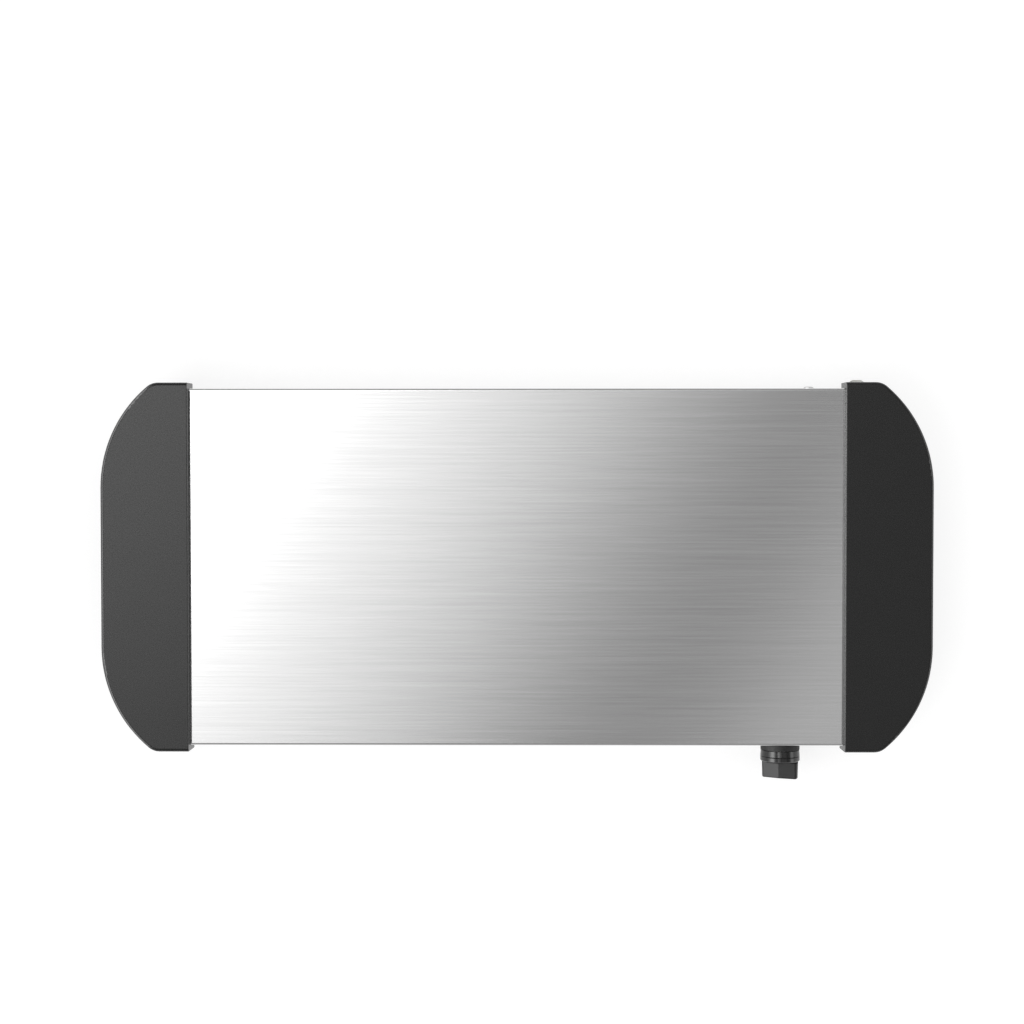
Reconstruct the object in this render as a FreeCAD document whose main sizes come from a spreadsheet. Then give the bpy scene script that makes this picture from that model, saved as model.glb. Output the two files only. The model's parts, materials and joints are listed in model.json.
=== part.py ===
import FreeCAD, Part
import math
import os
import Sketcher

# Electric warming plate, millimetres, +Z up, standing on its feet at Z = 0.
# X runs along the plate, -Y is the front with the control knob.
# Heights are measured from the surface it stands on.

V = FreeCAD.Vector
DOC = FreeCAD.newDocument("warming_plate")
SHEET = DOC.addObject("Spreadsheet::Sheet", "Dims")
NODES = {}
VENT_COUNT = 11

SIZES = [
    ("plate_length", 480.0, "steel top plate, along X"),
    ("body_width", 258.0, "steel body, along Y"),
    ("body_height", 40.0, "steel body, along Z"),
    ("foot_height", 14.0, "surface to the underside of the body"),
    ("sheet_steel", 0.8, "thickness of the outer steel sheets"),
    ("bend_radius", 1.6, "outer radius of the folds of the top plate"),
    ("return_width", 10.0, "inward fold along the bottom of each flange"),
    ("slip_gap", 0.1, "clearance between sheets and mouldings that fit together"),
    ("lip_overlap", 3.5, "how far the end cap reaches over the plate"),
    ("cap_length", 63.0, "visible length of an end cap, along X"),
    ("cap_overhang", 4.2, "end cap beyond the flange, front and back"),
    ("cap_rise", 5.0, "end cap above the plate"),
    ("cap_height", 22.0, "end cap, top to rim"),
    ("cap_shoulder", 75.8, "front or back edge to the straight stretch of the outer end"),
    ("cap_arc", 95.5, "large radius of the outer end"),
    ("cap_corner", 12.6, "small radius at the front and back corners"),
    ("cap_draft", 0.5, "draft of the moulded walls, wider at the rim, degrees"),
    ("cap_wall", 2.5, "moulded wall"),
    ("cap_edge", 2.5, "rounding of the upper outer edge"),
    ("cap_inner_edge", 0.5, "rounding of the inner end"),
    ("roll_width", 1.6, "eased edge of the serving surface at the end caps"),
    ("roll_fall", 0.15, "fall of that edge"),
    ("cover_thickness", 2.5, "lower cover of the end cap"),
    ("cover_recess", 0.8, "rim of the end cap below its cover"),
    ("boss_radius", 3.5, "screw boss inside an end cap"),
    ("boss_inset", 22.0, "inner cover bosses from the end of the body"),
    ("boss_side", 28.0, "inner cover bosses from the front or back of the cap"),
    ("tip_boss_inset", 48.0, "outer cover bosses from the end of the body"),
    ("tip_boss_side", 93.0, "outer cover bosses from the front or back of the cap"),
    ("pilot_radius", 1.25, "pilot hole for a tapping screw"),
    ("rib_thickness", 1.8, "stiffening rib under the top of an end cap"),
    ("rib_depth", 5.0, "depth of the ribs"),
    ("rib_side", 58.0, "outermost ribs from the front or back of the cap"),
    ("pillar_width", 10.0, "screw pillar against the end plate, along Y"),
    ("pillar_depth", 8.0, "screw pillar against the end plate, along X"),
    ("pillar_height", 15.0, "screw pillar against the end plate, along Z"),
    ("pillar_side", 53.0, "outer screw pillars from the front or back of the cap"),
    ("screw_shank", 1.5, "radius of the small screws"),
    ("screw_head", 3.0, "radius of the small screw heads"),
    ("screw_head_height", 2.0, "height of the small screw heads"),
    ("end_flange", 12.0, "fold of the end plate over the base plate"),
    ("base_inset", 1.0, "base plate inside the edges of the body"),
    ("base_corner", 5.0, "corner radius of the base plate"),
    ("base_screw_inset", 30.0, "outermost base screws from the ends of the body"),
    ("vent_length", 20.0, "ventilation slot between its round ends"),
    ("vent_radius", 1.75, "half the width of a ventilation slot"),
    ("vent_pitch", 32.0, "spacing of the ventilation slots"),
    ("vent_row", 60.0, "rows of slots from the middle"),
    ("foot_radius", 11.0, "foot at the base plate"),
    ("foot_tip", 9.0, "foot at the surface"),
    ("foot_inset_x", 36.0, "foot axis from the end of the body"),
    ("foot_inset_y", 22.0, "foot axis from the side of the body"),
    ("foot_bore", 4.6, "recess for the screw head in a foot"),
    ("foot_bore_depth", 6.0, "depth of that recess"),
    ("stud_radius", 2.0, "M4 screws and studs"),
    ("stud_head", 3.85, "M4 pan head"),
    ("stud_head_height", 1.8, "M4 pan head height"),
    ("nut_radius", 4.0, "M4 nut across its corners, half"),
    ("nut_height", 3.0, "M4 nut"),
    ("spreader_inset_x", 20.0, "heat spreader from the ends of the body"),
    ("spreader_inset_y", 34.0, "heat spreader from the sides of the body"),
    ("spreader_thickness", 2.0, "heat spreader"),
    ("element_radius", 3.3, "sheathed heating element"),
    ("element_inset_y", 20.0, "outer runs from the sides of the spreader"),
    ("element_inset_left", 50.0, "start of its left bends from the end of the body"),
    ("element_inset_right", 80.0, "start of its right bend from the end of the body"),
    ("element_inset_tail", 40.0, "its two ends from the end of the body"),
    ("clamp_width", 14.0, "clamp bar, along X"),
    ("clamp_inset_y", 3.0, "clamp bar from the sides of the spreader"),
    ("clamp_thickness", 1.5, "clamp bar"),
    ("clamp_inset_x", 90.0, "outer clamp bars from the ends of the body"),
    ("blanket_gap", 0.5, "mineral wool below the nuts of the clamp bars"),
    ("blanket_thickness", 9.0, "mineral wool over the heat shield"),
    ("blanket_margin", 6.0, "mineral wool inside the edges of the shield"),
    ("shield_sheet", 0.6, "heat shield"),
    ("shield_inset_x", 20.0, "heat shield from the ends of the body"),
    ("shield_inset_y", 36.0, "heat shield from the sides of the body"),
    ("shield_foot", 8.0, "folded foot of the heat shield"),
    ("shield_foot_inset", 24.0, "folded feet of the shield from the rubber feet, along X"),
    ("shield_bend", 2.0, "outer radius of its folds"),
    ("knob_inset", 46.8, "knob axis from the end of the body"),
    ("knob_drop", 20.0, "knob axis below the plate"),
    ("knob_turn", 26.0, "knob from level when off, degrees"),
    ("bezel_radius", 14.2, "fixed ring behind the knob"),
    ("bezel_depth", 5.2, "fixed ring, front to back"),
    ("knob_gap", 0.4, "running gap behind the knob"),
    ("skirt_radius", 14.4, "knob skirt"),
    ("skirt_depth", 8.4, "knob skirt, front to back"),
    ("skirt_chamfer", 1.0, "front edge of the skirt"),
    ("knob_wall", 1.8, "knob skirt wall"),
    ("groove_radius", 0.35, "fine groove round the skirt"),
    ("groove_place", 4.5, "groove from the back of the skirt"),
    ("grip_length", 27.0, "finger grip"),
    ("grip_middle", 8.0, "finger grip, thickest"),
    ("grip_end", 5.4, "finger grip, at its ends"),
    ("grip_depth", 12.6, "finger grip in front of the skirt"),
    ("grip_draft", 1.5, "draft of the grip, degrees"),
    ("grip_corner", 1.8, "rounding of its four long corners"),
    ("grip_edge", 1.2, "rounding of its front edge"),
    ("hub_radius", 6.0, "knob hub round the spindle"),
    ("spindle_radius", 3.0, "thermostat spindle"),
    ("spindle_flat", 2.3, "flat of the spindle from its axis"),
    ("spindle_fit", 0.05, "radial clearance of the spindle"),
    ("spindle_reach", 19.0, "spindle in front of the flange"),
    ("spindle_hole", 5.5, "hole round the spindle bush in the flange"),
    ("bush_radius", 4.8, "threaded bush of the thermostat"),
    ("bracket_length", 36.0, "thermostat mounting plate, along X"),
    ("bracket_width", 14.0, "thermostat mounting plate, along Z"),
    ("bracket_thickness", 1.5, "thermostat mounting plate"),
    ("bracket_screws", 9.5, "its screws from the spindle axis"),
    ("stack_offset", 12.5, "rivet of the contact stack from the spindle axis"),
    ("stack_radius", 5.0, "ceramic spacers of the contact stack"),
    ("stack_spacer", 3.0, "thickness of a ceramic spacer"),
    ("stack_bore", 1.5, "rivet of the contact stack"),
    ("blade_width", 7.0, "contact blades, along Z"),
    ("blade_reach", 24.0, "contact blades beyond the rivet"),
    ("blade_tab", 12.0, "terminal tab of a blade behind the rivet"),
    ("blade_sheet", 0.5, "thickness of the contact blades"),
    ("contact_radius", 2.0, "silver contacts"),
    ("pilot_offset", 60.0, "pilot lamp from the knob axis"),
    ("pilot_lens_radius", 5.5, "pilot lamp lens"),
    ("pilot_lens_height", 2.4, "pilot lamp lens in front of the flange"),
    ("pilot_barrel", 4.0, "pilot lamp barrel radius"),
    ("pilot_length", 22.0, "pilot lamp barrel behind the flange"),
    ("pilot_nut", 6.5, "pilot lamp nut across its corners, half"),
    ("pilot_nut_height", 3.0, "pilot lamp nut"),
    ("earth_inset", 27.0, "earth screw from the end of the body"),
    ("gland_inset", 5.4, "cord gland axis from the end of the body"),
    ("gland_drop", 6.5, "cord gland axis below the plate"),
    ("gland_radius", 4.6, "outer dome of the cord gland"),
    ("gland_lip", 0.3, "flat rim round the bore of the dome"),
    ("gland_flange", 5.2, "flange of the cord gland"),
    ("gland_flange_depth", 1.0, "thickness of that flange"),
    ("gland_bore", 2.7, "bore for the mains cord"),
    ("gland_reach", 3.0, "dome beyond the cap"),
    ("gland_shank", 4.2, "shank through the wall"),
    ("gland_tail", 11.0, "gland inside the wall"),
    ("gland_seat", 0.6, "spot face in the drafted wall"),
    ("block_length", 34.0, "terminal block, along Y"),
    ("block_width", 16.0, "terminal block, along X"),
    ("block_height", 11.0, "terminal block"),
    ("block_side", 79.0, "terminal block from the back of the body"),
    ("block_pitch", 10.5, "spacing of its screws"),
    ("grommet_radius", 4.9, "lead grommet in the right end plate"),
    ("grommet_bore", 3.3, "hole of the lead grommet"),
    ("grommet_lip", 1.0, "lips of the lead grommet"),
    ("grommet_clear", 0.2, "lead grommet below the plate"),
    ("lead_radius", 1.1, "insulated inner leads"),
    ("lamp_lead_radius", 0.8, "leads of the pilot lamp"),
    ("lead_bend", 4.0, "bend radius of the inner leads"),
    ("channel_inset", 25.0, "leads in the front channel from the side of the body"),
    ("channel_drop", 8.0, "live lead above the base plate"),
    ("channel_x", 6.0, "leads inside the end of the body"),
    ("fuse_inset", 54.0, "thermal fuse from the end of the body"),
    ("fuse_length", 20.0, "thermal fuse"),
    ("fuse_radius", 2.2, "thermal fuse"),
    ("fuse_clip_width", 8.0, "clip of the thermal fuse, along X"),
    ("tag_radius", 4.5, "ring of the earth tag"),
    ("tag_reach", 12.0, "tab of the earth tag from the screw"),
    ("tag_sheet", 0.8, "earth tag"),
]


class Size:
    """A size as the sheet's own formula, with its present value."""

    def __init__(self, text, value):
        self.text = text
        self.value = value

    def __add__(self, other):
        other = as_size(other)
        return Size(f"({self.text} + {other.text})", self.value + other.value)

    def __sub__(self, other):
        other = as_size(other)
        return Size(f"({self.text} - {other.text})", self.value - other.value)

    def __mul__(self, other):
        other = as_size(other)
        return Size(f"({self.text} * {other.text})", self.value * other.value)

    def __truediv__(self, other):
        other = as_size(other)
        return Size(f"({self.text} / {other.text})", self.value / other.value)

    def __radd__(self, other):
        return as_size(other) + self

    def __rsub__(self, other):
        return as_size(other) - self

    def __rmul__(self, other):
        return as_size(other) * self

    def __neg__(self):
        return Size(f"(-1 * {self.text})", -self.value)


def as_size(number):
    """A plain number as a size."""
    if isinstance(number, Size):
        return number
    return Size(f"({float(number)})", float(number))


class Named:
    """The sheet's sizes by name."""


D = Named()
for row, (alias, number, note) in enumerate(SIZES, start=1):
    SHEET.set(f"A{row}", alias)
    SHEET.set(f"B{row}", str(number))
    SHEET.set(f"C{row}", note)
    SHEET.setAlias(f"B{row}", alias)
    setattr(D, alias, Size(f"Dims.{alias}", number))
DOC.recompute()

# Levels and edges that several pieces share.
HALF_X = D.plate_length / 2
HALF_Y = D.body_width / 2
BODY_TOP = D.foot_height + D.body_height
UNDER_PLATE = BODY_TOP - D.sheet_steel
CAP_TOP = BODY_TOP + D.cap_rise
CAP_RIM = CAP_TOP - D.cap_height
CAP_INNER = HALF_X - D.lip_overlap
CAP_OUTER = CAP_INNER + D.cap_length
CAP_HALF = HALF_Y + D.cap_overhang
CAP_CEILING = CAP_TOP - D.cap_wall
COVER_TOP = CAP_RIM + D.cover_recess + D.cover_thickness
BASE_TOP = D.foot_height
BASE_UNDER = D.foot_height - D.sheet_steel
KNOB_Z = BODY_TOP - D.knob_drop
SKIRT_BACK = D.bezel_depth + D.knob_gap
SKIRT_FRONT = SKIRT_BACK + D.skirt_depth
KNOB_REACH = SKIRT_FRONT + D.grip_depth
SPREADER_UNDER = UNDER_PLATE - D.spreader_thickness
ELEMENT_Z = SPREADER_UNDER - D.element_radius
CLAMP_TOP = SPREADER_UNDER - 2 * D.element_radius
CLAMP_UNDER = CLAMP_TOP - D.clamp_thickness
SHIELD_TOP = CLAMP_UNDER - D.nut_height - D.blanket_gap - D.blanket_thickness
INNER_Y = HALF_Y - D.sheet_steel
KNOB_X = HALF_X - D.knob_inset
EARTH_X = HALF_X - D.earth_inset
FUSE_X = HALF_X - D.fuse_inset
CHANNEL_Y = HALF_Y - D.channel_inset
SPREADER_X = HALF_X - D.spreader_inset_x
SPREADER_Y = HALF_Y - D.spreader_inset_y
OUTER_RUN = SPREADER_Y - D.element_inset_y
ELEMENT_PITCH = OUTER_RUN / 1.5
ELEMENT_TAIL = HALF_X - D.element_inset_tail
BLOCK_Y = HALF_Y - D.block_side
GLAND_X = HALF_X + D.gland_inset
GLAND_Z = BODY_TOP - D.gland_drop
# The origin lies under the middle of the whole product, knob and gland included.
SHIFT_Y = (HALF_Y + KNOB_REACH - CAP_HALF - D.gland_reach) / 2
FRONT = FreeCAD.Rotation(V(1, 0, 0), 90)
BACK = FreeCAD.Rotation(V(1, 0, 0), -90)
RIGHT = FreeCAD.Rotation(V(0, 1, 0), 90)
DOWN = FreeCAD.Rotation(V(1, 0, 0), 180)
UP = FreeCAD.Rotation()
HALF_TURN = FreeCAD.Rotation(V(0, 0, 1), 180)
SQUARE_TURN = FreeCAD.Rotation(V(0, 0, 1), 90)


def place(thing, x=0, y=0, z=0, rotation=UP):
    """Put a sub-part at a place given by sizes."""
    base = [as_size(x), as_size(y) + SHIFT_Y, as_size(z)]
    thing.Placement = FreeCAD.Placement(V(*[part.value for part in base]), rotation)
    for axis, part in zip("xyz", base):
        thing.setExpression(f"Placement.Base.{axis}", part.text)


def new_body(label, x=0, y=0, z=0, rotation=UP, node=True):
    """An empty body with its place; a node is written out under its label."""
    body = DOC.addObject("PartDesign::Body", label)
    body.Label = label
    place(body, x, y, z, rotation)
    if node:
        NODES[label] = body
    return body


def origin_part(body, role):
    """A plane or axis of the body's own origin."""
    return next(part for part in body.Origin.OriginFeatures if part.Role == role)


class Drawing:
    """A sketch on one of a body's own planes, held by sizes."""

    def __init__(self, body, role="XY_Plane", level=0):
        self.sketch = body.newObject("Sketcher::SketchObject", body.Label + "_sketch")
        self.sketch.AttachmentSupport = [(origin_part(body, role), "")]
        self.sketch.MapMode = "FlatFace"
        level = as_size(level)
        self.sketch.AttachmentOffset = FreeCAD.Placement(V(0, 0, level.value), UP)
        self.sketch.setExpression("AttachmentOffset.Base.z", level.text)

    def add(self, shape):
        return self.sketch.addGeometry(shape, False)

    def hold(self, kind, *place_and_size):
        """A constraint with its last value tied to a size."""
        size = as_size(place_and_size[-1])
        index = self.sketch.addConstraint(Sketcher.Constraint(kind, *place_and_size[:-1], size.value))
        self.sketch.setExpression(f"Constraints[{index}]", size.text)

    def link(self, kind, *places):
        self.sketch.addConstraint(Sketcher.Constraint(kind, *places))

    def pin(self, edge, end, x, y):
        """Hold one point of an edge at x, y."""
        self.hold("DistanceX", -1, 1, edge, end, x)
        self.hold("DistanceY", -1, 1, edge, end, y)

    def polygon(self, points):
        """Straight edges through the points."""
        points = [(as_size(x), as_size(y)) for x, y in points]
        spots = [V(x.value, y.value, 0) for x, y in points]
        edges = [self.add(Part.LineSegment(a, b)) for a, b in zip(spots, spots[1:] + spots[:1])]
        for edge, after in zip(edges, edges[1:] + edges[:1]):
            self.link("Coincident", edge, 2, after, 1)
        for edge, (x, y) in zip(edges, points):
            self.pin(edge, 1, x, y)
        return self

    def box(self, x0, x1, y0, y1):
        return self.polygon([(x0, y0), (x1, y0), (x1, y1), (x0, y1)])

    def circle(self, x, y, radius):
        x, y, radius = as_size(x), as_size(y), as_size(radius)
        ring = self.add(Part.Circle(V(x.value, y.value, 0), V(0, 0, 1), radius.value))
        self.pin(ring, 3, x, y)
        self.hold("Radius", ring, radius)
        return self

    def arc(self, x, y, radius, start, stop):
        x, y, radius = as_size(x), as_size(y), as_size(radius)
        ring = Part.Circle(V(x.value, y.value, 0), V(0, 0, 1), radius.value)
        edge = self.add(Part.ArcOfCircle(ring, start, stop))
        self.hold("Radius", edge, radius)
        return edge

    def hull(self, centres, radius):
        """One radius round a convex ring of centres, anticlockwise."""
        radius = as_size(radius)
        spots = [V(as_size(x).value, as_size(y).value, 0) for x, y in centres]
        arcs, lines = [], []
        for index, here in enumerate(spots):
            after = spots[(index + 1) % len(spots)]
            start = heading(here - spots[index - 1])
            stop = heading(after - here)
            while stop < start:
                stop += 2 * math.pi
            out = V(math.cos(stop), math.sin(stop), 0) * radius.value
            arcs.append(self.arc(*centres[index], radius, start, stop))
            lines.append(self.add(Part.LineSegment(here + out, after + out)))
        for arc, line, after, centre in zip(arcs, lines, arcs[1:] + arcs[:1], centres):
            self.link("Tangent", arc, 2, line, 1)
            self.link("Tangent", line, 2, after, 1)
            self.pin(arc, 3, *centre)
        return self

    def rounded_box(self, half_x, half_y, radius):
        cx, cy = as_size(half_x) - radius, as_size(half_y) - radius
        return self.hull([(-cx, -cy), (cx, -cy), (cx, cy), (-cx, cy)], radius)

    def slot(self, x, y, length, radius):
        half = as_size(length) / 2
        return self.hull([(x - half, y), (x + half, y)], radius)


def heading(direction):
    """Angle of the outward side of an edge that runs anticlockwise."""
    return math.atan2(direction.y, direction.x) - math.pi / 2


def cap_outline(drawing, inset=0):
    """The D of an end cap: straight end, two large arcs, two small corners."""
    inner, outer, half = CAP_INNER + inset, CAP_OUTER - inset, CAP_HALF - inset
    large, small, flat = D.cap_arc - inset, D.cap_corner - inset, CAP_HALF - D.cap_shoulder
    large_x, small_y = (outer - large).value, (half - small).value
    small_x = large_x + math.sqrt((large - small).value ** 2 - (small_y - flat.value) ** 2)
    lean = math.atan2(small_y - flat.value, small_x - large_x)
    quarter = math.pi / 2
    front = drawing.add(Part.LineSegment(V(inner.value, -half.value, 0), V(small_x, -half.value, 0)))
    edges = [
        front,
        drawing.arc(small_x, -small_y, small, -quarter, -lean),
        drawing.arc(large_x, -flat.value, large, -lean, 0),
        drawing.add(Part.LineSegment(V(outer.value, -flat.value, 0), V(outer.value, flat.value, 0))),
        drawing.arc(large_x, flat.value, large, 0, lean),
        drawing.arc(small_x, small_y, small, lean, quarter),
        drawing.add(Part.LineSegment(V(small_x, half.value, 0), V(inner.value, half.value, 0))),
    ]
    side = drawing.add(Part.LineSegment(V(inner.value, half.value, 0), V(inner.value, -half.value, 0)))
    for edge, after in zip(edges, edges[1:]):
        drawing.link("Tangent", edge, 2, after, 1)
    drawing.link("Coincident", edges[-1], 2, side, 1)
    drawing.link("Coincident", side, 2, front, 1)
    drawing.link("Horizontal", front)
    drawing.link("Horizontal", edges[-1])
    drawing.pin(front, 1, inner, -half)
    drawing.pin(edges[-1], 2, inner, half)
    drawing.pin(edges[3], 1, outer, -flat)
    drawing.pin(edges[3], 2, outer, flat)
    return drawing


def build(body, kind, drawing, length, flip, draft):
    """A pad or a pocket of a drawing; the volume has to change the right way."""
    before = body.Shape.Volume if body.Tip else 0
    feature = body.newObject(kind, body.Label + "_step")
    feature.Profile = drawing.sketch
    feature.Reversed = flip
    feature.setExpression("Length", as_size(length).text)
    if draft is not None:
        feature.setExpression("TaperAngle", as_size(draft).text)
    DOC.recompute()
    grows = kind == "PartDesign::Pad"
    if (body.Shape.Volume > before) != grows or body.Shape.Volume == before:
        raise RuntimeError(f"{body.Label}: a step changed nothing or the wrong way")
    return feature


def pad(body, drawing, length, flip=False, draft=None):
    return build(body, "PartDesign::Pad", drawing, length, flip, draft)


def pocket(body, drawing, length, flip=False, draft=None):
    return build(body, "PartDesign::Pocket", drawing, length, flip, draft)


def revolve(body, drawing):
    """Turn a drawing in the XZ plane about the body's Z axis."""
    feature = body.newObject("PartDesign::Revolution", body.Label + "_turned")
    feature.Profile = drawing.sketch
    feature.ReferenceAxis = (drawing.sketch, ["V_Axis"])
    feature.Angle = 360
    DOC.recompute()
    return feature


def repeat_along_x(body, feature, pitch, count):
    """The newest step repeated along X at a pitch."""
    before = body.Shape.Volume
    pattern = body.newObject("PartDesign::LinearPattern", body.Label + "_row")
    pattern.Originals = [feature]
    pattern.Direction = (origin_part(body, "X_Axis"), [""])
    pattern.Mode = "Spacing"
    pattern.Occurrences = count
    pattern.setExpression("Offset", as_size(pitch).text)
    body.Tip = pattern
    DOC.recompute()
    if body.Shape.Volume == before:
        raise RuntimeError(f"{body.Label}: the row changed nothing")
    return pattern


def edge_names(shape, wanted):
    return [f"Edge{i}" for i, edge in enumerate(shape.Edges, start=1) if wanted(edge)]


def face_names(shape, wanted):
    return [f"Face{i}" for i, face in enumerate(shape.Faces, start=1) if wanted(face)]


def near(a, b):
    return abs(a - as_size(b).value) < 1e-4


def round_edges(body, wanted, radius, kind="PartDesign::Fillet"):
    """Round or bevel the edges of the newest step that the test picks."""
    base = body.Tip
    names = edge_names(base.Shape, wanted)
    if not names:
        raise RuntimeError(f"{body.Label}: no edge to round")
    feature = body.newObject(kind, body.Label + "_edge")
    feature.Base = (base, names)
    feature.setExpression("Radius" if kind.endswith("Fillet") else "Size", as_size(radius).text)
    DOC.recompute()
    return feature


def hollow(body, wanted, wall):
    """Shell the newest step inward, open at the faces that the test picks."""
    base = body.Tip
    feature = body.newObject("PartDesign::Thickness", body.Label + "_shell")
    feature.Base = (base, face_names(base.Shape, wanted))
    feature.setExpression("Value", as_size(wall).text)
    feature.Reversed = True
    feature.Join = 0
    DOC.recompute()
    return feature


def along_x(edge):
    box = edge.BoundBox
    return box.YLength < 1e-4 and box.ZLength < 1e-4


def group(label, master, places):
    """One node of like solids: the master repeated at each place."""
    links = []
    for x, y, z, rotation in places:
        link = DOC.addObject("App::Link", label + "_copy")
        link.LinkedObject = master
        place(link, x, y, z, rotation)
        links.append(link)
    together = DOC.addObject("Part::Compound", label)
    together.Label = label
    together.Links = links
    NODES[label] = together
    return together


def screw_master(label, shank, length, head, head_height):
    """A pan-head screw: the head's seat is at Z = 0, the shank points down."""
    body = new_body(label, node=False)
    crown = head * 0.7
    profile = [(0, -length), (shank, -length), (shank, 0), (head, 0)]
    profile += [(head, head_height * 0.5), (crown, head_height), (0, head_height)]
    revolve(body, Drawing(body, "XZ_Plane").polygon(profile))
    pocket(body, Drawing(body, level=head_height).slot(as_size(0), 0, head, shank * 0.25), head_height * 0.4)
    return body


def hexagon(drawing, radius):
    half, tall = radius * 0.5, radius * (math.sqrt(3) / 2)
    corners = [(radius, 0), (half, tall), (-half, tall), (-radius, 0), (-half, -tall), (half, -tall)]
    return drawing.polygon(corners)


def nut_master(label, radius, height, bore):
    """A nut on the Z axis that sits on Z = 0."""
    body = new_body(label, node=False)
    pad(body, hexagon(Drawing(body), radius).circle(0, 0, bore), height)
    return body


def top_plate():
    """Folded steel channel: serving surface, front and back flanges, bottom returns."""
    body = new_body("top_plate")
    pad(body, Drawing(body, level=D.foot_height).box(-HALF_X, HALF_X, -HALF_Y, HALF_Y), D.body_height)
    round_edges(body, along_x, D.bend_radius)
    hollow(body, lambda face: face.BoundBox.XLength < 1e-4, D.sheet_steel)
    inner = HALF_Y - D.return_width
    pocket(body, Drawing(body, level=D.foot_height).box(-HALF_X, HALF_X, -inner, inner), D.bend_radius, flip=True)
    joggle(body)
    holes = Drawing(body, "XZ_Plane", HALF_Y).circle(KNOB_X, KNOB_Z, D.spindle_hole)
    for side in (-1, 1):
        holes.circle(KNOB_X + side * D.bracket_screws, KNOB_Z, D.screw_shank)
    holes.circle(KNOB_X - D.pilot_offset, KNOB_Z, D.pilot_barrel)
    pocket(body, holes, D.bend_radius)
    pocket(body, Drawing(body, "XZ_Plane", -HALF_Y).circle(EARTH_X, KNOB_Z, D.stud_radius), D.bend_radius, flip=True)
    tapped = Drawing(body, level=D.foot_height)
    for x, y in base_screw_places():
        tapped.circle(x, y, D.screw_shank)
    pocket(body, tapped, D.bend_radius, flip=True)


def joggle(body):
    """Step both ends of the surface down by one sheet, to lie under the lips of the end caps."""
    flat = HALF_Y - D.bend_radius
    wide = flat + D.sheet_steel / 2
    edge = CAP_INNER - D.slip_gap
    crest, fall = edge - D.roll_width, BODY_TOP - D.roll_fall
    cut = Drawing(body, "XZ_Plane", flat)
    land = Drawing(body, level=UNDER_PLATE)
    for side in (-1, 1):
        step = [(edge, UNDER_PLATE), (HALF_X, UNDER_PLATE), (HALF_X, BODY_TOP), (crest, BODY_TOP), (edge, fall)]
        cut.polygon([(side * x, z) for x, z in step][::side])
        low, high = sorted((side * (edge - D.sheet_steel), side * HALF_X), key=lambda place: place.value)
        land.box(low, high, -wide, wide)
    pocket(body, cut, 2 * flat)
    pad(body, land, D.sheet_steel, flip=True)


def base_screw_places():
    rim = HALF_Y - D.return_width / 2
    pitch = (D.plate_length - 2 * D.base_screw_inset) / 3
    return [(step * pitch, side * rim) for side in (-1, 1) for step in (-1.5, -0.5, 0.5, 1.5)]


def foot_places():
    x, y = HALF_X - D.foot_inset_x, HALF_Y - D.foot_inset_y
    return [(-x, -y), (x, -y), (x, y), (-x, y)]


def base_plate():
    """Flat steel bottom with ventilation slots, screwed under the returns."""
    body = new_body("base_plate")
    outline = Drawing(body, level=BASE_UNDER)
    outline.rounded_box(HALF_X - D.base_inset, HALF_Y - D.base_inset, D.base_corner)
    pad(body, outline, D.sheet_steel)
    holes = Drawing(body, level=BASE_UNDER)
    for x, y in base_screw_places():
        holes.circle(x, y, D.screw_shank)
    for x, y in foot_places():
        holes.circle(x, y, D.stud_radius)
    pocket(body, holes, D.sheet_steel, flip=True)
    vents = Drawing(body, level=BASE_UNDER)
    for row in (-1, 1):
        vents.slot(-D.vent_pitch * (VENT_COUNT - 1) / 2, row * D.vent_row, D.vent_length, D.vent_radius)
    repeat_along_x(body, pocket(body, vents, D.sheet_steel, flip=True), D.vent_pitch, VENT_COUNT)


def pillar_places():
    return [step * (CAP_HALF - D.pillar_side) for step in (-1, 0, 1)]


def end_plate(label, rotation, with_grommet):
    """Pressed steel end wall with a fold over the base plate."""
    body = new_body(label, rotation=rotation)
    half = INNER_Y - D.slip_gap
    low, high = BASE_TOP + D.sheet_steel + D.slip_gap, UNDER_PLATE - D.sheet_steel - D.slip_gap
    inner = HALF_X - D.sheet_steel
    pad(body, Drawing(body, "YZ_Plane", inner).box(-half, half, low, high), D.sheet_steel)
    round_edges(body, along_x, D.bend_radius)
    fold = HALF_Y - D.return_width - D.slip_gap
    flange = Drawing(body, level=low).box(inner - D.end_flange, inner, -fold, fold)
    pad(body, flange, D.sheet_steel)
    holes = Drawing(body, "YZ_Plane", inner)
    for y in pillar_places():
        holes.circle(y, pillar_screw_z(), D.screw_shank)
    if with_grommet:
        holes.circle(BLOCK_Y, grommet_z(), D.grommet_radius - D.grommet_lip)
    pocket(body, holes, D.sheet_steel, flip=True)


def pillar_screw_z():
    return CAP_CEILING - D.pillar_height / 2


def grommet_z():
    return UNDER_PLATE - D.sheet_steel - D.slip_gap - D.grommet_radius - D.grommet_clear


def boss_places():
    wide, narrow = CAP_HALF - D.boss_side, CAP_HALF - D.tip_boss_side
    near_x, far_x = HALF_X + D.boss_inset, HALF_X + D.tip_boss_inset
    return [(near_x, -wide), (far_x, -narrow), (far_x, narrow), (near_x, wide)]


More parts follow.
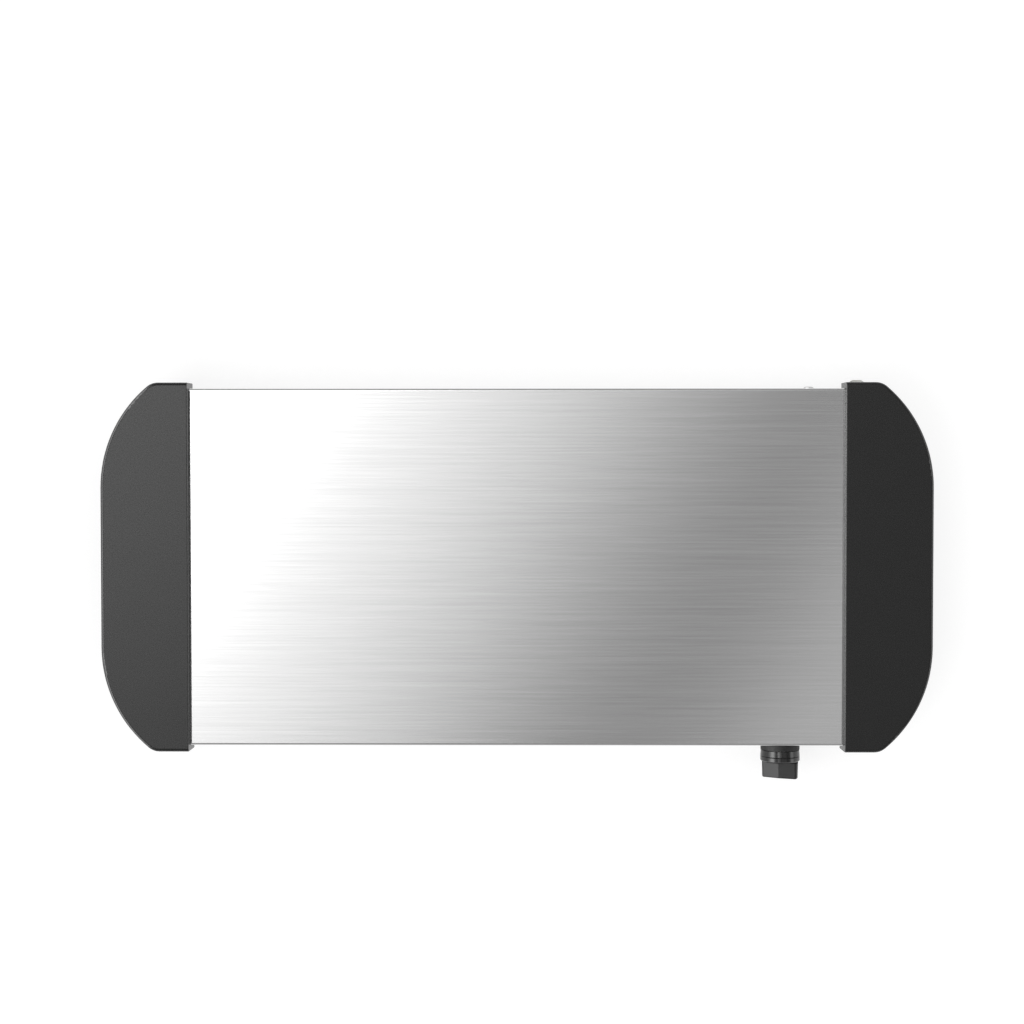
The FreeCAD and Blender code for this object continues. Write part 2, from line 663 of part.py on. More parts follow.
def end_cap(label, rotation, with_gland):
    """Moulded handle: a drafted D shell over the end of the steel body."""
    body = new_body(label, rotation=rotation)
    pad(body, cap_outline(Drawing(body, level=CAP_TOP)), D.cap_height, flip=True, draft=D.cap_draft)
    edge_line = CAP_INNER + D.cap_edge
    round_edges(body, lambda edge: near(edge.BoundBox.ZMin, CAP_TOP) and edge.BoundBox.XMax > edge_line.value,
                D.cap_edge)
    round_edges(body, lambda edge: near(edge.BoundBox.ZMin, CAP_TOP) and near(edge.BoundBox.XMax, CAP_INNER),
                D.cap_inner_edge)
    cavity = cap_outline(Drawing(body, level=CAP_CEILING), D.cap_wall)
    pocket(body, cavity, D.cap_height, draft=D.cap_draft)
    reach, seat, rest = HALF_X + D.slip_gap, HALF_Y + D.slip_gap, BODY_TOP + D.slip_gap / 2
    notch = Drawing(body, level=rest).box(CAP_INNER - D.cap_wall, reach, -seat, seat)
    pocket(body, notch, D.body_height)
    flat = HALF_Y - D.bend_radius - D.slip_gap
    lip = Drawing(body, level=rest).box(CAP_INNER + 2 * D.slip_gap, CAP_INNER + D.cap_wall, -flat, flat)
    pad(body, lip, D.sheet_steel, flip=True)
    bosses = Drawing(body, level=CAP_CEILING)
    for x, y in boss_places():
        bosses.circle(x, y, D.boss_radius)
    pad(body, bosses, CAP_CEILING - COVER_TOP, flip=True)
    pillars = Drawing(body, level=CAP_CEILING)
    for y in pillar_places():
        half = D.pillar_width / 2
        pillars.box(reach, reach + D.pillar_depth, y - half, y + half)
    pad(body, pillars, D.pillar_height, flip=True)
    ribs = Drawing(body, level=CAP_CEILING)
    for step in (-1.5, -0.5, 0.5, 1.5):
        middle = step * (CAP_HALF - D.rib_side) / 1.5
        half = D.rib_thickness / 2
        ribs.box(reach, CAP_OUTER - 2 * D.cap_wall, middle - half, middle + half)
    pad(body, ribs, D.rib_depth, flip=True)
    pilots = Drawing(body, level=COVER_TOP)
    for x, y in boss_places():
        pilots.circle(x, y, D.pilot_radius)
    pocket(body, pilots, D.cap_height / 2, flip=True)
    side_pilots = Drawing(body, "YZ_Plane", reach)
    for y in pillar_places():
        side_pilots.circle(y, pillar_screw_z(), D.pilot_radius)
    pocket(body, side_pilots, D.pillar_depth - D.pilot_radius, flip=True)
    if with_gland:
        outside = CAP_HALF + D.gland_reach
        face = Drawing(body, "XZ_Plane", -outside).circle(GLAND_X, GLAND_Z, D.gland_flange + D.slip_gap)
        pocket(body, face, D.gland_reach + D.gland_seat, flip=True)
        hole = Drawing(body, "XZ_Plane", -CAP_HALF).circle(GLAND_X, GLAND_Z, D.gland_shank + D.slip_gap)
        pocket(body, hole, 2 * D.cap_wall + D.gland_seat, flip=True)


def cap_cover(label, rotation):
    """Flat lower cover inside the rim of an end cap."""
    body = new_body(label, rotation=rotation)
    spread = (CAP_CEILING - COVER_TOP) * math.tan(math.radians(D.cap_draft.value))
    inset = D.cap_wall - spread + D.slip_gap
    outline = cap_outline(Drawing(body, level=COVER_TOP), inset)
    pad(body, outline, D.cover_thickness, flip=True)
    trim = Drawing(body, level=COVER_TOP).box(CAP_INNER, HALF_X + D.slip_gap, -CAP_HALF, CAP_HALF)
    pocket(body, trim, D.cover_thickness)
    holes = Drawing(body, level=COVER_TOP)
    for x, y in boss_places():
        holes.circle(x, y, D.screw_shank)
    pocket(body, holes, D.cover_thickness)


def heat_spreader():
    body = new_body("heat_spreader")
    outline = Drawing(body, level=SPREADER_UNDER).rounded_box(SPREADER_X, SPREADER_Y, D.base_corner)
    pad(body, outline, D.spreader_thickness)


def heating_element():
    """Sheathed tube in four runs, both ends at the right."""
    body = new_body("heating_element")
    spine = Drawing(body, level=ELEMENT_Z)
    bend = ELEMENT_PITCH / 2
    left, right, tail = D.element_inset_left - HALF_X, HALF_X - D.element_inset_right, ELEMENT_TAIL
    rows = [-1.5 * ELEMENT_PITCH, -0.5 * ELEMENT_PITCH, 0.5 * ELEMENT_PITCH, 1.5 * ELEMENT_PITCH]
    quarter = math.pi / 2

    def run(x0, x1, y):
        return spine.add(Part.LineSegment(V(x0.value, y.value, 0), V(x1.value, y.value, 0)))

    edges = [
        run(tail, left, rows[0]),
        spine.arc(left, -ELEMENT_PITCH, bend, quarter, 3 * quarter),
        run(left, right, rows[1]),
        spine.arc(right, 0, bend, -quarter, quarter),
        run(right, left, rows[2]),
        spine.arc(left, ELEMENT_PITCH, bend, quarter, 3 * quarter),
        run(left, tail, rows[3]),
    ]
    joints = [(0, 2, 1, 2), (1, 1, 2, 1), (2, 2, 3, 1), (3, 2, 4, 1), (4, 2, 5, 2), (5, 1, 6, 1)]
    for before, end, after, start in joints:
        spine.link("Tangent", edges[before], end, edges[after], start)
    for arc, x in ((1, left), (3, right), (5, left)):
        spine.hold("DistanceX", -1, 1, edges[arc], 3, x)
    spine.hold("DistanceY", -1, 1, edges[3], 3, 0)
    spine.pin(edges[0], 1, tail, rows[0])
    spine.pin(edges[6], 2, tail, rows[3])
    section = Drawing(body, "YZ_Plane", tail).circle(rows[0], ELEMENT_Z, D.element_radius)
    DOC.recompute()
    sweep = body.newObject("PartDesign::AdditivePipe", "element_sweep")
    sweep.Profile = section.sketch
    sweep.Spine = (spine.sketch, [f"Edge{number}" for number in range(1, 8)])
    DOC.recompute()


def element_end_places():
    return [(ELEMENT_TAIL, -OUTER_RUN, ELEMENT_Z, RIGHT), (ELEMENT_TAIL, OUTER_RUN, ELEMENT_Z, RIGHT)]


def element_ends():
    """Ceramic beads and cold pins at the two ends of the element."""
    bead = new_body("seal_bead", node=False)
    tall = D.element_radius * 1.6
    profile = [(D.lead_radius, 0), (D.element_radius, 0), (D.element_radius * 0.7, tall), (D.lead_radius, tall)]
    revolve(bead, Drawing(bead, "XZ_Plane").polygon(profile))
    group("element_seals", bead, element_end_places())
    stem = new_body("cold_pin", node=False)
    pad(stem, Drawing(stem).circle(0, 0, D.lead_radius), 2 * tall)
    group("element_pins", stem, element_end_places())


def clamp_places():
    return [step * (HALF_X - D.clamp_inset_x) for step in (-1, 0, 1)]


def stud_places():
    return [(x, row * ELEMENT_PITCH) for x in clamp_places() for row in (-1, 0, 1)]


def element_clamps():
    """Three bars that press the element to the spreader, on welded studs."""
    bar = new_body("clamp_bar", node=False)
    outline = Drawing(bar).rounded_box(D.clamp_width / 2, SPREADER_Y - D.clamp_inset_y, D.clamp_width / 3)
    pad(bar, outline, D.clamp_thickness)
    holes = Drawing(bar)
    for row in (-1, 0, 1):
        holes.circle(0, row * ELEMENT_PITCH, D.stud_radius + D.slip_gap)
    pocket(bar, holes, D.clamp_thickness, flip=True)
    group("element_clamps", bar, [(x, 0, CLAMP_UNDER, UP) for x in clamp_places()])
    length = SPREADER_UNDER - CLAMP_UNDER + D.nut_height
    stud = new_body("weld_stud", node=False)
    pad(stud, Drawing(stud).circle(0, 0, D.stud_radius), length)
    group("clamp_studs", stud, [(x, y, SPREADER_UNDER - length, UP) for x, y in stud_places()])
    nut = nut_master("clamp_nut", D.nut_radius, D.nut_height, D.stud_radius)
    group("clamp_nuts", nut, [(x, y, CLAMP_UNDER - D.nut_height, UP) for x, y in stud_places()])


def heat_shield():
    """Folded tray under the element, on two long legs."""
    body = new_body("heat_shield")
    half_x, half_y = HALF_X - D.shield_inset_x, HALF_Y - D.shield_inset_y
    pad(body, Drawing(body, level=BASE_TOP).box(-half_x, half_x, -half_y, half_y), SHIELD_TOP - BASE_TOP)
    top = SHIELD_TOP
    round_edges(body, lambda edge: along_x(edge) and near(edge.BoundBox.ZMin, top), D.shield_bend)

    def opened(face):
        return face.BoundBox.XLength < 1e-4 or near(face.BoundBox.ZMax, BASE_TOP)

    hollow(body, opened, D.shield_sheet)
    feet = Drawing(body, level=BASE_TOP)
    long = HALF_X - D.foot_inset_x - D.shield_foot_inset
    feet.box(-long, long, half_y - D.shield_sheet, half_y + D.shield_foot)
    feet.box(-long, long, -half_y - D.shield_foot, D.shield_sheet - half_y)
    pad(body, feet, D.shield_sheet)


def insulation_blanket():
    body = new_body("insulation_blanket")
    half_x = HALF_X - D.shield_inset_x - D.blanket_margin
    half_y = HALF_Y - D.shield_inset_y - D.blanket_margin
    pad(body, Drawing(body, level=SHIELD_TOP).rounded_box(half_x, half_y, D.base_corner), D.blanket_thickness)


def feet():
    """Rubber feet with their screws and nuts."""
    rubber = new_body("rubber_foot", node=False)
    tall = BASE_UNDER
    deep = D.foot_bore_depth
    profile = [(D.stud_radius, deep), (D.foot_bore, deep), (D.foot_bore, 0), (D.foot_tip - 1, 0)]
    profile += [(D.foot_tip, 1), (D.foot_radius, tall), (D.stud_radius, tall)]
    revolve(rubber, Drawing(rubber, "XZ_Plane").polygon(profile))
    group("feet", rubber, [(x, y, 0, UP) for x, y in foot_places()])
    length = BASE_TOP + D.nut_height - deep
    bolt = screw_master("foot_bolt", D.stud_radius, length, D.stud_head, D.stud_head_height)
    group("foot_screws", bolt, [(x, y, deep, DOWN) for x, y in foot_places()])
    nut = nut_master("foot_nut", D.nut_radius, D.nut_height, D.stud_radius)
    group("foot_nuts", nut, [(x, y, BASE_TOP, UP) for x, y in foot_places()])


def body_screws():
    """Tapping screws of the base plate, the end caps and their covers."""
    short = screw_master("base_screw", D.screw_shank, 4 * D.sheet_steel, D.screw_head, D.screw_head_height)
    group("base_screws", short, [(x, y, BASE_UNDER, DOWN) for x, y in base_screw_places()])
    reach = D.pillar_depth * 0.7
    side = screw_master("pillar_screw", D.pilot_radius, reach, D.screw_head, D.screw_head_height)
    inner = HALF_X - D.sheet_steel
    to_left = FreeCAD.Rotation(V(0, 1, 0), -90)
    places = [(inner, y, pillar_screw_z(), to_left) for y in pillar_places()]
    places += [(-inner, y, pillar_screw_z(), RIGHT) for y in pillar_places()]
    group("cap_screws", side, places)
    lower = screw_master("cover_screw", D.pilot_radius, 3 * D.cover_thickness, D.screw_head, D.screw_head_height)
    under = COVER_TOP - D.cover_thickness
    places = [(x, y, under, DOWN) for x, y in boss_places()]
    places += [(-x, y, under, DOWN) for x, y in boss_places()]
    group("cover_screws", lower, places)


def control_knob():
    """Knob with a hollow skirt, a hub and a two-faceted finger grip."""
    rotation = FRONT.multiply(FreeCAD.Rotation(V(0, 0, 1), D.knob_turn.value))
    body = new_body("control_knob", KNOB_X, -HALF_Y, KNOB_Z, rotation)
    back, front, wall = SKIRT_BACK, SKIRT_FRONT, D.knob_wall
    groove = back + D.groove_place
    rim = D.skirt_radius
    lean = rim - D.groove_radius
    profile = [(0, front - wall), (rim - wall, front - wall), (rim - wall, back), (lean, back)]
    profile += [(rim, groove - D.groove_radius), (lean, groove), (rim, groove + D.groove_radius)]
    profile += [(rim, front - D.skirt_chamfer), (rim - D.skirt_chamfer, front), (0, front)]
    revolve(body, Drawing(body, "XZ_Plane").polygon(profile))
    pad(body, Drawing(body, level=front - wall).circle(0, 0, D.hub_radius), front - wall - back - D.bush_radius / 4,
        flip=True)
    corner = D.grip_corner
    long, thick, thin = D.grip_length / 2 - corner, D.grip_middle / 2 - corner, D.grip_end / 2 - corner
    corners = [(-long, -thin), (0, -thick), (long, -thin), (long, thin), (0, thick), (-long, thin)]
    start = front - D.skirt_chamfer
    pad(body, Drawing(body, level=start).hull(corners, corner), KNOB_REACH - start, draft=-D.grip_draft)
    round_edges(body, lambda edge: edge.BoundBox.ZMin > KNOB_REACH.value - 0.1, D.grip_edge)
    bore = D.spindle_radius + D.spindle_fit
    flat = D.spindle_flat + D.spindle_fit
    pocket(body, d_section(Drawing(body, level=back), bore, flat), D.spindle_reach - back + D.knob_gap, flip=True)


def d_section(drawing, radius, flat):
    """A circle cut by a flat above its axis."""
    radius, flat = as_size(radius), as_size(flat)
    half = math.sqrt(radius.value ** 2 - flat.value ** 2)
    lean = math.atan2(flat.value, half)
    edge = drawing.arc(0, 0, radius, math.pi - lean, 2 * math.pi + lean)
    chord = drawing.add(Part.LineSegment(V(half, flat.value, 0), V(-half, flat.value, 0)))
    drawing.link("Coincident", edge, 2, chord, 1)
    drawing.link("Coincident", chord, 2, edge, 1)
    drawing.pin(edge, 3, 0, 0)
    drawing.link("Horizontal", chord)
    drawing.hold("DistanceY", -1, 1, chord, 1, flat)
    return drawing


def thermostat():
    """Bimetal thermostat: plate with bush, spindle, ceramic stack and blades."""
    x, front, z = KNOB_X, -HALF_Y, KNOB_Z
    turned = FRONT.multiply(FreeCAD.Rotation(V(0, 0, 1), D.knob_turn.value))
    inside = D.sheet_steel
    plate_back = inside + D.bracket_thickness
    bore = D.spindle_radius + D.spindle_fit

    plate = new_body("thermostat_plate", x, front, z, FRONT)
    outline = Drawing(plate, level=-plate_back)
    outline.rounded_box(D.bracket_length / 2, D.bracket_width / 2, D.bracket_width / 4)
    pad(plate, outline, D.bracket_thickness)
    pad(plate, Drawing(plate, level=-plate_back).circle(0, 0, D.bush_radius), plate_back + D.bezel_depth)
    pocket(plate, Drawing(plate, level=-plate_back).circle(0, 0, bore), 2 * plate_back + D.bezel_depth, flip=True)
    holes = Drawing(plate, level=-plate_back)
    for side in (-1, 1):
        holes.circle(side * D.bracket_screws, 0, D.pilot_radius)
    pocket(plate, holes, plate_back, flip=True)

    spindle = new_body("thermostat_spindle", x, front, z, turned)
    tip = plate_back + D.stack_spacer - D.knob_gap
    pad(spindle, Drawing(spindle, level=-tip).circle(0, 0, D.spindle_radius), tip + SKIRT_BACK)
    shaft = d_section(Drawing(spindle, level=SKIRT_BACK), D.spindle_radius, D.spindle_flat)
    pad(spindle, shaft, D.spindle_reach - SKIRT_BACK)
    round_edges(spindle, lambda edge: near(edge.BoundBox.ZMin, D.spindle_reach), D.knob_gap, "PartDesign::Chamfer")

    bezel = new_body("knob_bezel", x, front, z, FRONT)
    pad(bezel, Drawing(bezel).circle(0, 0, D.bezel_radius).circle(0, 0, D.bush_radius + D.slip_gap), D.bezel_depth)
    sinks = Drawing(bezel, level=D.bezel_depth)
    through = Drawing(bezel)
    for side in (-1, 1):
        sinks.circle(side * D.bracket_screws, 0, D.screw_head + D.slip_gap)
        through.circle(side * D.bracket_screws, 0, D.screw_shank)
    pocket(bezel, sinks, D.screw_head_height + D.slip_gap)
    pocket(bezel, through, D.bezel_depth, flip=True)
    seat = D.bezel_depth - D.screw_head_height - D.slip_gap
    short = screw_master("plate_screw", D.pilot_radius, seat + plate_back, D.screw_head, D.screw_head_height)
    places = [(x + side * D.bracket_screws, front - seat, z, FRONT) for side in (-1, 1)]
    group("thermostat_screws", short, places)
    contact_stack(x - D.stack_offset, front + plate_back, z)


def contact_stack(x, y, z):
    """Ceramic spacers, two contact blades and the bimetal on one rivet."""
    spacer = new_body("stack_spacer", node=False)
    pad(spacer, Drawing(spacer).circle(0, 0, D.stack_radius).circle(0, 0, D.stack_bore), D.stack_spacer)
    step = D.stack_spacer + D.blade_sheet
    group("ceramic_spacers", spacer, [(x, y + index * step, z, BACK) for index in range(4)])
    half = D.blade_width / 2
    names = ["contact_spring", "contact_arm", "bimetal_blade"]
    for index, name in enumerate(names):
        blade = new_body(name, x, y + index * step + D.stack_spacer, z, BACK)
        tab = 0 if index == 2 else D.blade_tab
        reach = D.blade_reach - index * D.contact_radius
        outline = Drawing(blade).box(-D.stack_radius - tab, reach, -half, half).circle(0, 0, D.stack_bore)
        pad(blade, outline, D.blade_sheet)
        round_edges(blade, lambda edge: edge.BoundBox.ZLength > 0.1 and len(edge.Vertexes) == 2 and
                    edge.Curve.TypeId == "Part::GeomLine" and edge.BoundBox.XMin > 0, half / 2)
    rivet = new_body("stack_rivet", x, y, z, BACK)
    length = 4 * step - D.blade_sheet
    head = D.stack_bore * 1.8
    tall = D.stack_bore * 0.6
    profile = [(0, 0), (D.stack_bore, 0), (D.stack_bore, length), (head, length), (head * 0.8, length + tall)]
    revolve(rivet, Drawing(rivet, "XZ_Plane").polygon(profile + [(0, length + tall)]))
    contact = new_body("contact_rivet", node=False)
    gap = D.stack_spacer
    pad(contact, Drawing(contact).circle(0, 0, D.contact_radius), gap / 2)
    spot = x + D.blade_reach - 2 * D.contact_radius - half
    low = y + D.stack_spacer + D.blade_sheet
    group("silver_contacts", contact, [(spot, low, z, BACK), (spot, low + gap / 2, z, BACK)])


def pilot_lamp():
    """Pilot lamp in the front flange: lens, barrel and nut."""
    x, z = KNOB_X - D.pilot_offset, KNOB_Z
    lens = new_body("pilot_lens", x, -HALF_Y, z, FRONT)
    tall, wide = D.pilot_lens_height, D.pilot_lens_radius
    profile = [(0, 0), (wide, 0), (wide, tall * 0.5), (wide * 0.85, tall * 0.85), (wide * 0.5, tall), (0, tall)]
    revolve(lens, Drawing(lens, "XZ_Plane").polygon(profile))
    barrel = new_body("pilot_lamp_body", x, -HALF_Y, z, BACK)
    pad(barrel, Drawing(barrel).circle(0, 0, D.pilot_barrel - D.slip_gap / 2), D.pilot_length)
    tabs = Drawing(barrel, level=D.pilot_length)
    for side in (-1, 1):
        middle = side * D.pilot_barrel / 2
        tabs.box(middle - D.blade_sheet / 2, middle + D.blade_sheet / 2, -D.contact_radius, D.contact_radius)
    pad(barrel, tabs, D.blade_tab / 2)
    nut = new_body("pilot_nut", x, D.sheet_steel - HALF_Y, z, BACK)
    pad(nut, hexagon(Drawing(nut), D.pilot_nut).circle(0, 0, D.pilot_barrel), D.pilot_nut_height)


def earth_screw():
    """Earth screw through the back flange, with its nut."""
    length = D.sheet_steel + 2 * D.nut_height
    bolt = screw_master("earth_bolt", D.stud_radius, length, D.stud_head, D.stud_head_height)
    group("earth_screw", bolt, [(EARTH_X, HALF_Y, KNOB_Z, BACK)])
    nut = nut_master("earth_nut_master", D.nut_radius, D.nut_height, D.stud_radius)
    group("earth_nut", nut, [(EARTH_X, INNER_Y - D.tag_sheet, KNOB_Z, FRONT)])
    tag = new_body("earth_tag", EARTH_X, INNER_Y, KNOB_Z, FRONT)
    pad(tag, Drawing(tag).slot(D.tag_reach / 2, 0, D.tag_reach, D.tag_radius), D.tag_sheet)
    pocket(tag, Drawing(tag).circle(0, 0, D.stud_radius), D.tag_sheet, flip=True)


def cord_gland():
    """Nylon gland for the mains cord, in the back wall of the right end cap."""
    body = new_body("cord_gland", GLAND_X, CAP_HALF, GLAND_Z, BACK)
    seat, bore = -D.gland_seat, D.gland_bore
    shoulder = seat + D.gland_flange_depth
    collar = -D.cap_wall - 2 * D.gland_seat
    profile = [(bore, -D.gland_tail), (D.gland_radius, -D.gland_tail), (D.gland_radius, collar)]
    profile += [(D.gland_shank, collar), (D.gland_shank, seat), (D.gland_flange, seat), (D.gland_flange, shoulder)]
    foot = shoulder + D.gland_lip
    profile += [(D.gland_radius, foot), (D.gland_radius, D.gland_reach), (bore, D.gland_reach)]
    revolve(body, Drawing(body, "XZ_Plane").polygon(profile))
    wall, height = D.gland_radius - bore - D.gland_lip, D.gland_reach - foot - D.slip_gap
    round_edges(body, lambda edge: near(edge.BoundBox.ZMin, D.gland_reach) and near(edge.BoundBox.XMax, D.gland_radius),
                min(wall, height, key=lambda room: room.value))


def terminal_block():
    """Three-way terminal block on the cover of the right end cap, and the lead grommet."""
    low = COVER_TOP
    half_x, half_y = D.block_width / 2, D.block_length / 2
    x = HALF_X + D.boss_inset
    block = new_body("terminal_block", x, BLOCK_Y, low)
    pad(block, Drawing(block).box(-half_x, half_x, -half_y, half_y), D.block_height)
    ways = Drawing(block, level=D.block_height)
    entries = Drawing(block, "YZ_Plane", -half_x)
    for step in (-1, 0, 1):
        ways.circle(0, step * D.block_pitch, D.stud_radius)
        entries.circle(step * D.block_pitch, D.block_height / 3, D.lead_radius + D.slip_gap)
    pocket(block, ways, D.block_height / 2)
    pocket(block, entries, D.block_width, flip=True)
    grub = new_body("grub_screw", node=False)
    tall = D.block_height * 0.3
    pad(grub, Drawing(grub).circle(0, 0, D.stud_radius - D.slip_gap), tall)
    pocket(grub, Drawing(grub, level=tall).slot(as_size(0), 0, D.stud_radius * 2, D.stud_radius / 4), tall / 3)
    floor = low + D.block_height / 2
    places = [(x, BLOCK_Y + step * D.block_pitch, floor, UP) for step in (-1, 0, 1)]
    group("terminal_screws", grub, places)

    grommet = new_body("lead_grommet", HALF_X - D.sheet_steel, BLOCK_Y, grommet_z(), RIGHT)
    lip, neck, wide, bore = D.grommet_lip, D.grommet_radius - D.grommet_lip, D.grommet_radius, D.grommet_bore
    outer = D.sheet_steel + lip
    profile = [(bore, -lip), (wide, -lip), (wide, 0), (neck, 0), (neck, D.sheet_steel), (wide, D.sheet_steel)]
    revolve(grommet, Drawing(grommet, "XZ_Plane").polygon(profile + [(wide, outer), (bore, outer)]))


def lead(label, points, radius):
    """A round lead along straight runs joined by tangent arcs."""
    points = [V(*[as_size(part).value for part in point]) for point in points]
    edges, here = [], points[0]
    bend = D.lead_bend.value
    for before, corner, after in zip(points, points[1:], points[2:]):
        into, out = (corner - before).normalize(), (after - corner).normalize()
        half_turn = into.getAngle(out) / 2
        room = 0.45 * min((corner - before).Length, (after - corner).Length)
        cut = min(bend * math.tan(half_turn), room)
        reach = cut / math.tan(half_turn)
        side = (out - into).normalize()
        first, last = corner - into * cut, corner + out * cut
        centre = corner + side * math.hypot(cut, reach)
        middle = centre - side * reach
        edges += [Part.LineSegment(here, first).toShape(), Part.Arc(first, middle, last).toShape()]
        here = last
    edges.append(Part.LineSegment(here, points[-1]).toShape())
    wire = Part.Wire(edges)
    ring = Part.Circle(points[0], (points[1] - points[0]).normalize(), radius.value).toShape()
    tube = wire.makePipeShell([Part.Wire([ring])], True, False)
    full = math.pi * radius.value ** 2 * wire.Length
    if abs(tube.Volume - full) > full / 100:
        raise RuntimeError(f"{label}: the tube doesn't fill its path")
    thing = DOC.addObject("Part::Feature", label)
    thing.Label = label
    thing.Shape = tube
    place(thing)
    NODES[label] = thing


def thermal_fuse():
    """Thermal fuse in the load lead, held under the plate by a clip."""
    y, start = -CHANNEL_Y, FUSE_X - D.fuse_length / 2
    fuse = new_body("thermal_fuse", start, y, ELEMENT_Z, RIGHT)
    neck, full, radius = D.lead_radius, D.fuse_length, D.fuse_radius
    profile = [(0, 0), (neck, 0), (radius, neck), (radius, full - neck), (neck, full), (0, full)]
    revolve(fuse, Drawing(fuse, "XZ_Plane").polygon(profile))
    clip = new_body("fuse_clip", FUSE_X, y, 0)
    half, wide = D.fuse_clip_width / 2, D.fuse_radius + D.clamp_thickness
    bottom = ELEMENT_Z - wide
    pad(clip, Drawing(clip, level=bottom).box(-half, half, -wide, wide), UNDER_PLATE - bottom)
    round_edges(clip, lambda edge: along_x(edge) and near(edge.BoundBox.ZMin, bottom), D.fuse_radius)
    bore = Drawing(clip, "YZ_Plane", -half).circle(0, ELEMENT_Z, D.fuse_radius)
    pocket(clip, bore, D.fuse_clip_width, flip=True)


def inner_leads():
    """The leads between terminal block, thermostat, fuse, element, earth tag and lamp."""
    block_x = HALF_X + D.boss_inset - D.block_width / 2
    entry_z = COVER_TOP + D.block_height / 3
    outside, inside = HALF_X + D.grommet_bore, HALF_X - D.channel_x
    through = grommet_z()
    spread = D.lead_radius + D.lamp_lead_radius
    low, front = BASE_TOP + D.channel_drop, -CHANNEL_Y
    end_x = ELEMENT_TAIL + 3.2 * D.element_radius
    end_y = 1.5 * ELEMENT_PITCH
    stack_x = KNOB_X - D.stack_offset
    tab_x = stack_x - D.stack_radius - D.blade_tab
    first_y = -HALF_Y + D.sheet_steel + D.bracket_thickness + D.stack_spacer + D.blade_sheet / 2
    second_y = first_y + D.stack_spacer + D.blade_sheet
    run_out = 3 * D.lead_radius

    def from_block(step, y, z):
        start_y = BLOCK_Y + step * D.block_pitch
        return [(block_x, start_y, entry_z), (block_x - run_out, start_y, entry_z), (outside, y, z), (inside, y, z)]

    live = from_block(-1, BLOCK_Y - spread, through - D.lead_radius)
    live += [(inside, BLOCK_Y - 4 * D.lead_bend, low), (inside, front - D.lead_bend, low)]
    live += [(tab_x - 3 * D.lead_bend, front - D.lead_bend, low), (tab_x - 3 * D.lead_bend, front - D.lead_bend, KNOB_Z)]
    live += [(tab_x - 3 * D.lead_bend, first_y, KNOB_Z), (tab_x, first_y, KNOB_Z)]
    lead("live_lead", live, D.lead_radius)

    turn_x = tab_x - 1.5 * D.lead_bend
    fuse_start, fuse_end = FUSE_X - D.fuse_length / 2, FUSE_X + D.fuse_length / 2
    load = [(tab_x, second_y, KNOB_Z), (turn_x, second_y, KNOB_Z), (turn_x, front, KNOB_Z)]
    lead("load_lead", load + [(turn_x, front, ELEMENT_Z), (fuse_start, front, ELEMENT_Z)], D.lead_radius)
    far_x = end_x + 3 * D.lead_bend
    fused = [(fuse_end, front, ELEMENT_Z), (far_x, front, ELEMENT_Z), (far_x, -end_y, ELEMENT_Z)]
    lead("fuse_lead", fused + [(end_x, -end_y, ELEMENT_Z)], D.lead_radius)

    neutral = from_block(0, BLOCK_Y, through + spread)
    near_x = inside - 1.5 * D.lead_bend
    neutral[-1] = (near_x, BLOCK_Y, through + spread)
    lead("neutral_lead", neutral + [(near_x, end_y, ELEMENT_Z), (end_x, end_y, ELEMENT_Z)], D.lead_radius)

    earth = from_block(1, BLOCK_Y + spread, through - D.lead_radius)
    tag_x = EARTH_X + D.tag_reach * 0.75
    last_y = INNER_Y - D.tag_sheet
    earth += [(inside, CHANNEL_Y, KNOB_Z), (tag_x, CHANNEL_Y + 2 * D.lead_bend, KNOB_Z)]
    lead("earth_lead", earth + [(tag_x, last_y, KNOB_Z)], D.lead_radius)

    lamp_x, lamp_y = KNOB_X - D.pilot_offset, -HALF_Y + D.pilot_length + D.blade_tab / 2
    half = D.pilot_barrel / 2
    over_y = lamp_y + 1.5 * D.lead_bend
    switched_x, level = tab_x + D.lead_bend, KNOB_Z + D.lead_bend
    first = [(lamp_x - half, lamp_y, KNOB_Z), (lamp_x - half, over_y, KNOB_Z)]
    first += [(lamp_x + 2 * D.lead_bend, over_y, level), (switched_x, over_y, level)]
    first += [(switched_x, front - D.lead_bend, KNOB_Z), (switched_x, second_y + D.blade_sheet / 2, KNOB_Z)]
    lead("lamp_load_lead", first, D.lamp_lead_radius)
    lane_x, high = far_x + D.lead_bend, ELEMENT_Z - D.lead_bend
    second = [(lamp_x + half, lamp_y, KNOB_Z), (lamp_x + half, lamp_y + D.lead_bend, KNOB_Z)]
    second += [(lamp_x + half, lamp_y + D.lead_bend, high), (lane_x, lamp_y + D.lead_bend, high)]
    pin_x, under = end_x - D.lead_radius, ELEMENT_Z - 1.3 * D.lead_bend
    second += [(lane_x, BLOCK_Y, high), (far_x - D.lead_bend, end_y, under), (pin_x, end_y, under)]
    lead("lamp_neutral_lead", second + [(pin_x, end_y, ELEMENT_Z - D.lead_radius)], D.lamp_lead_radius)


def check_and_write():
    """Every object has to be whole before any file is written."""
    DOC.recompute()
    for thing in DOC.Objects:
        if "Invalid" in thing.State or "Error" in thing.State:
            raise RuntimeError(f"{thing.Label} failed: {thing.State}")
    for label, thing in NODES.items():
        if thing.Shape.isNull() or not thing.Shape.isValid():
            raise RuntimeError(f"{label} has no valid shape")
    os.makedirs("parts", exist_ok=True)
    for label, thing in NODES.items():
        thing.Shape.exportStep(f"parts/{label}.step")
        box = thing.Shape.BoundBox
        spot = f"{box.XMin:8.1f}{box.XMax:8.1f}{box.YMin:8.1f}{box.YMax:8.1f}{box.ZMin:7.1f}{box.ZMax:7.1f}"
        print(f"{label:22s}{len(thing.Shape.Solids):3d}{spot}")


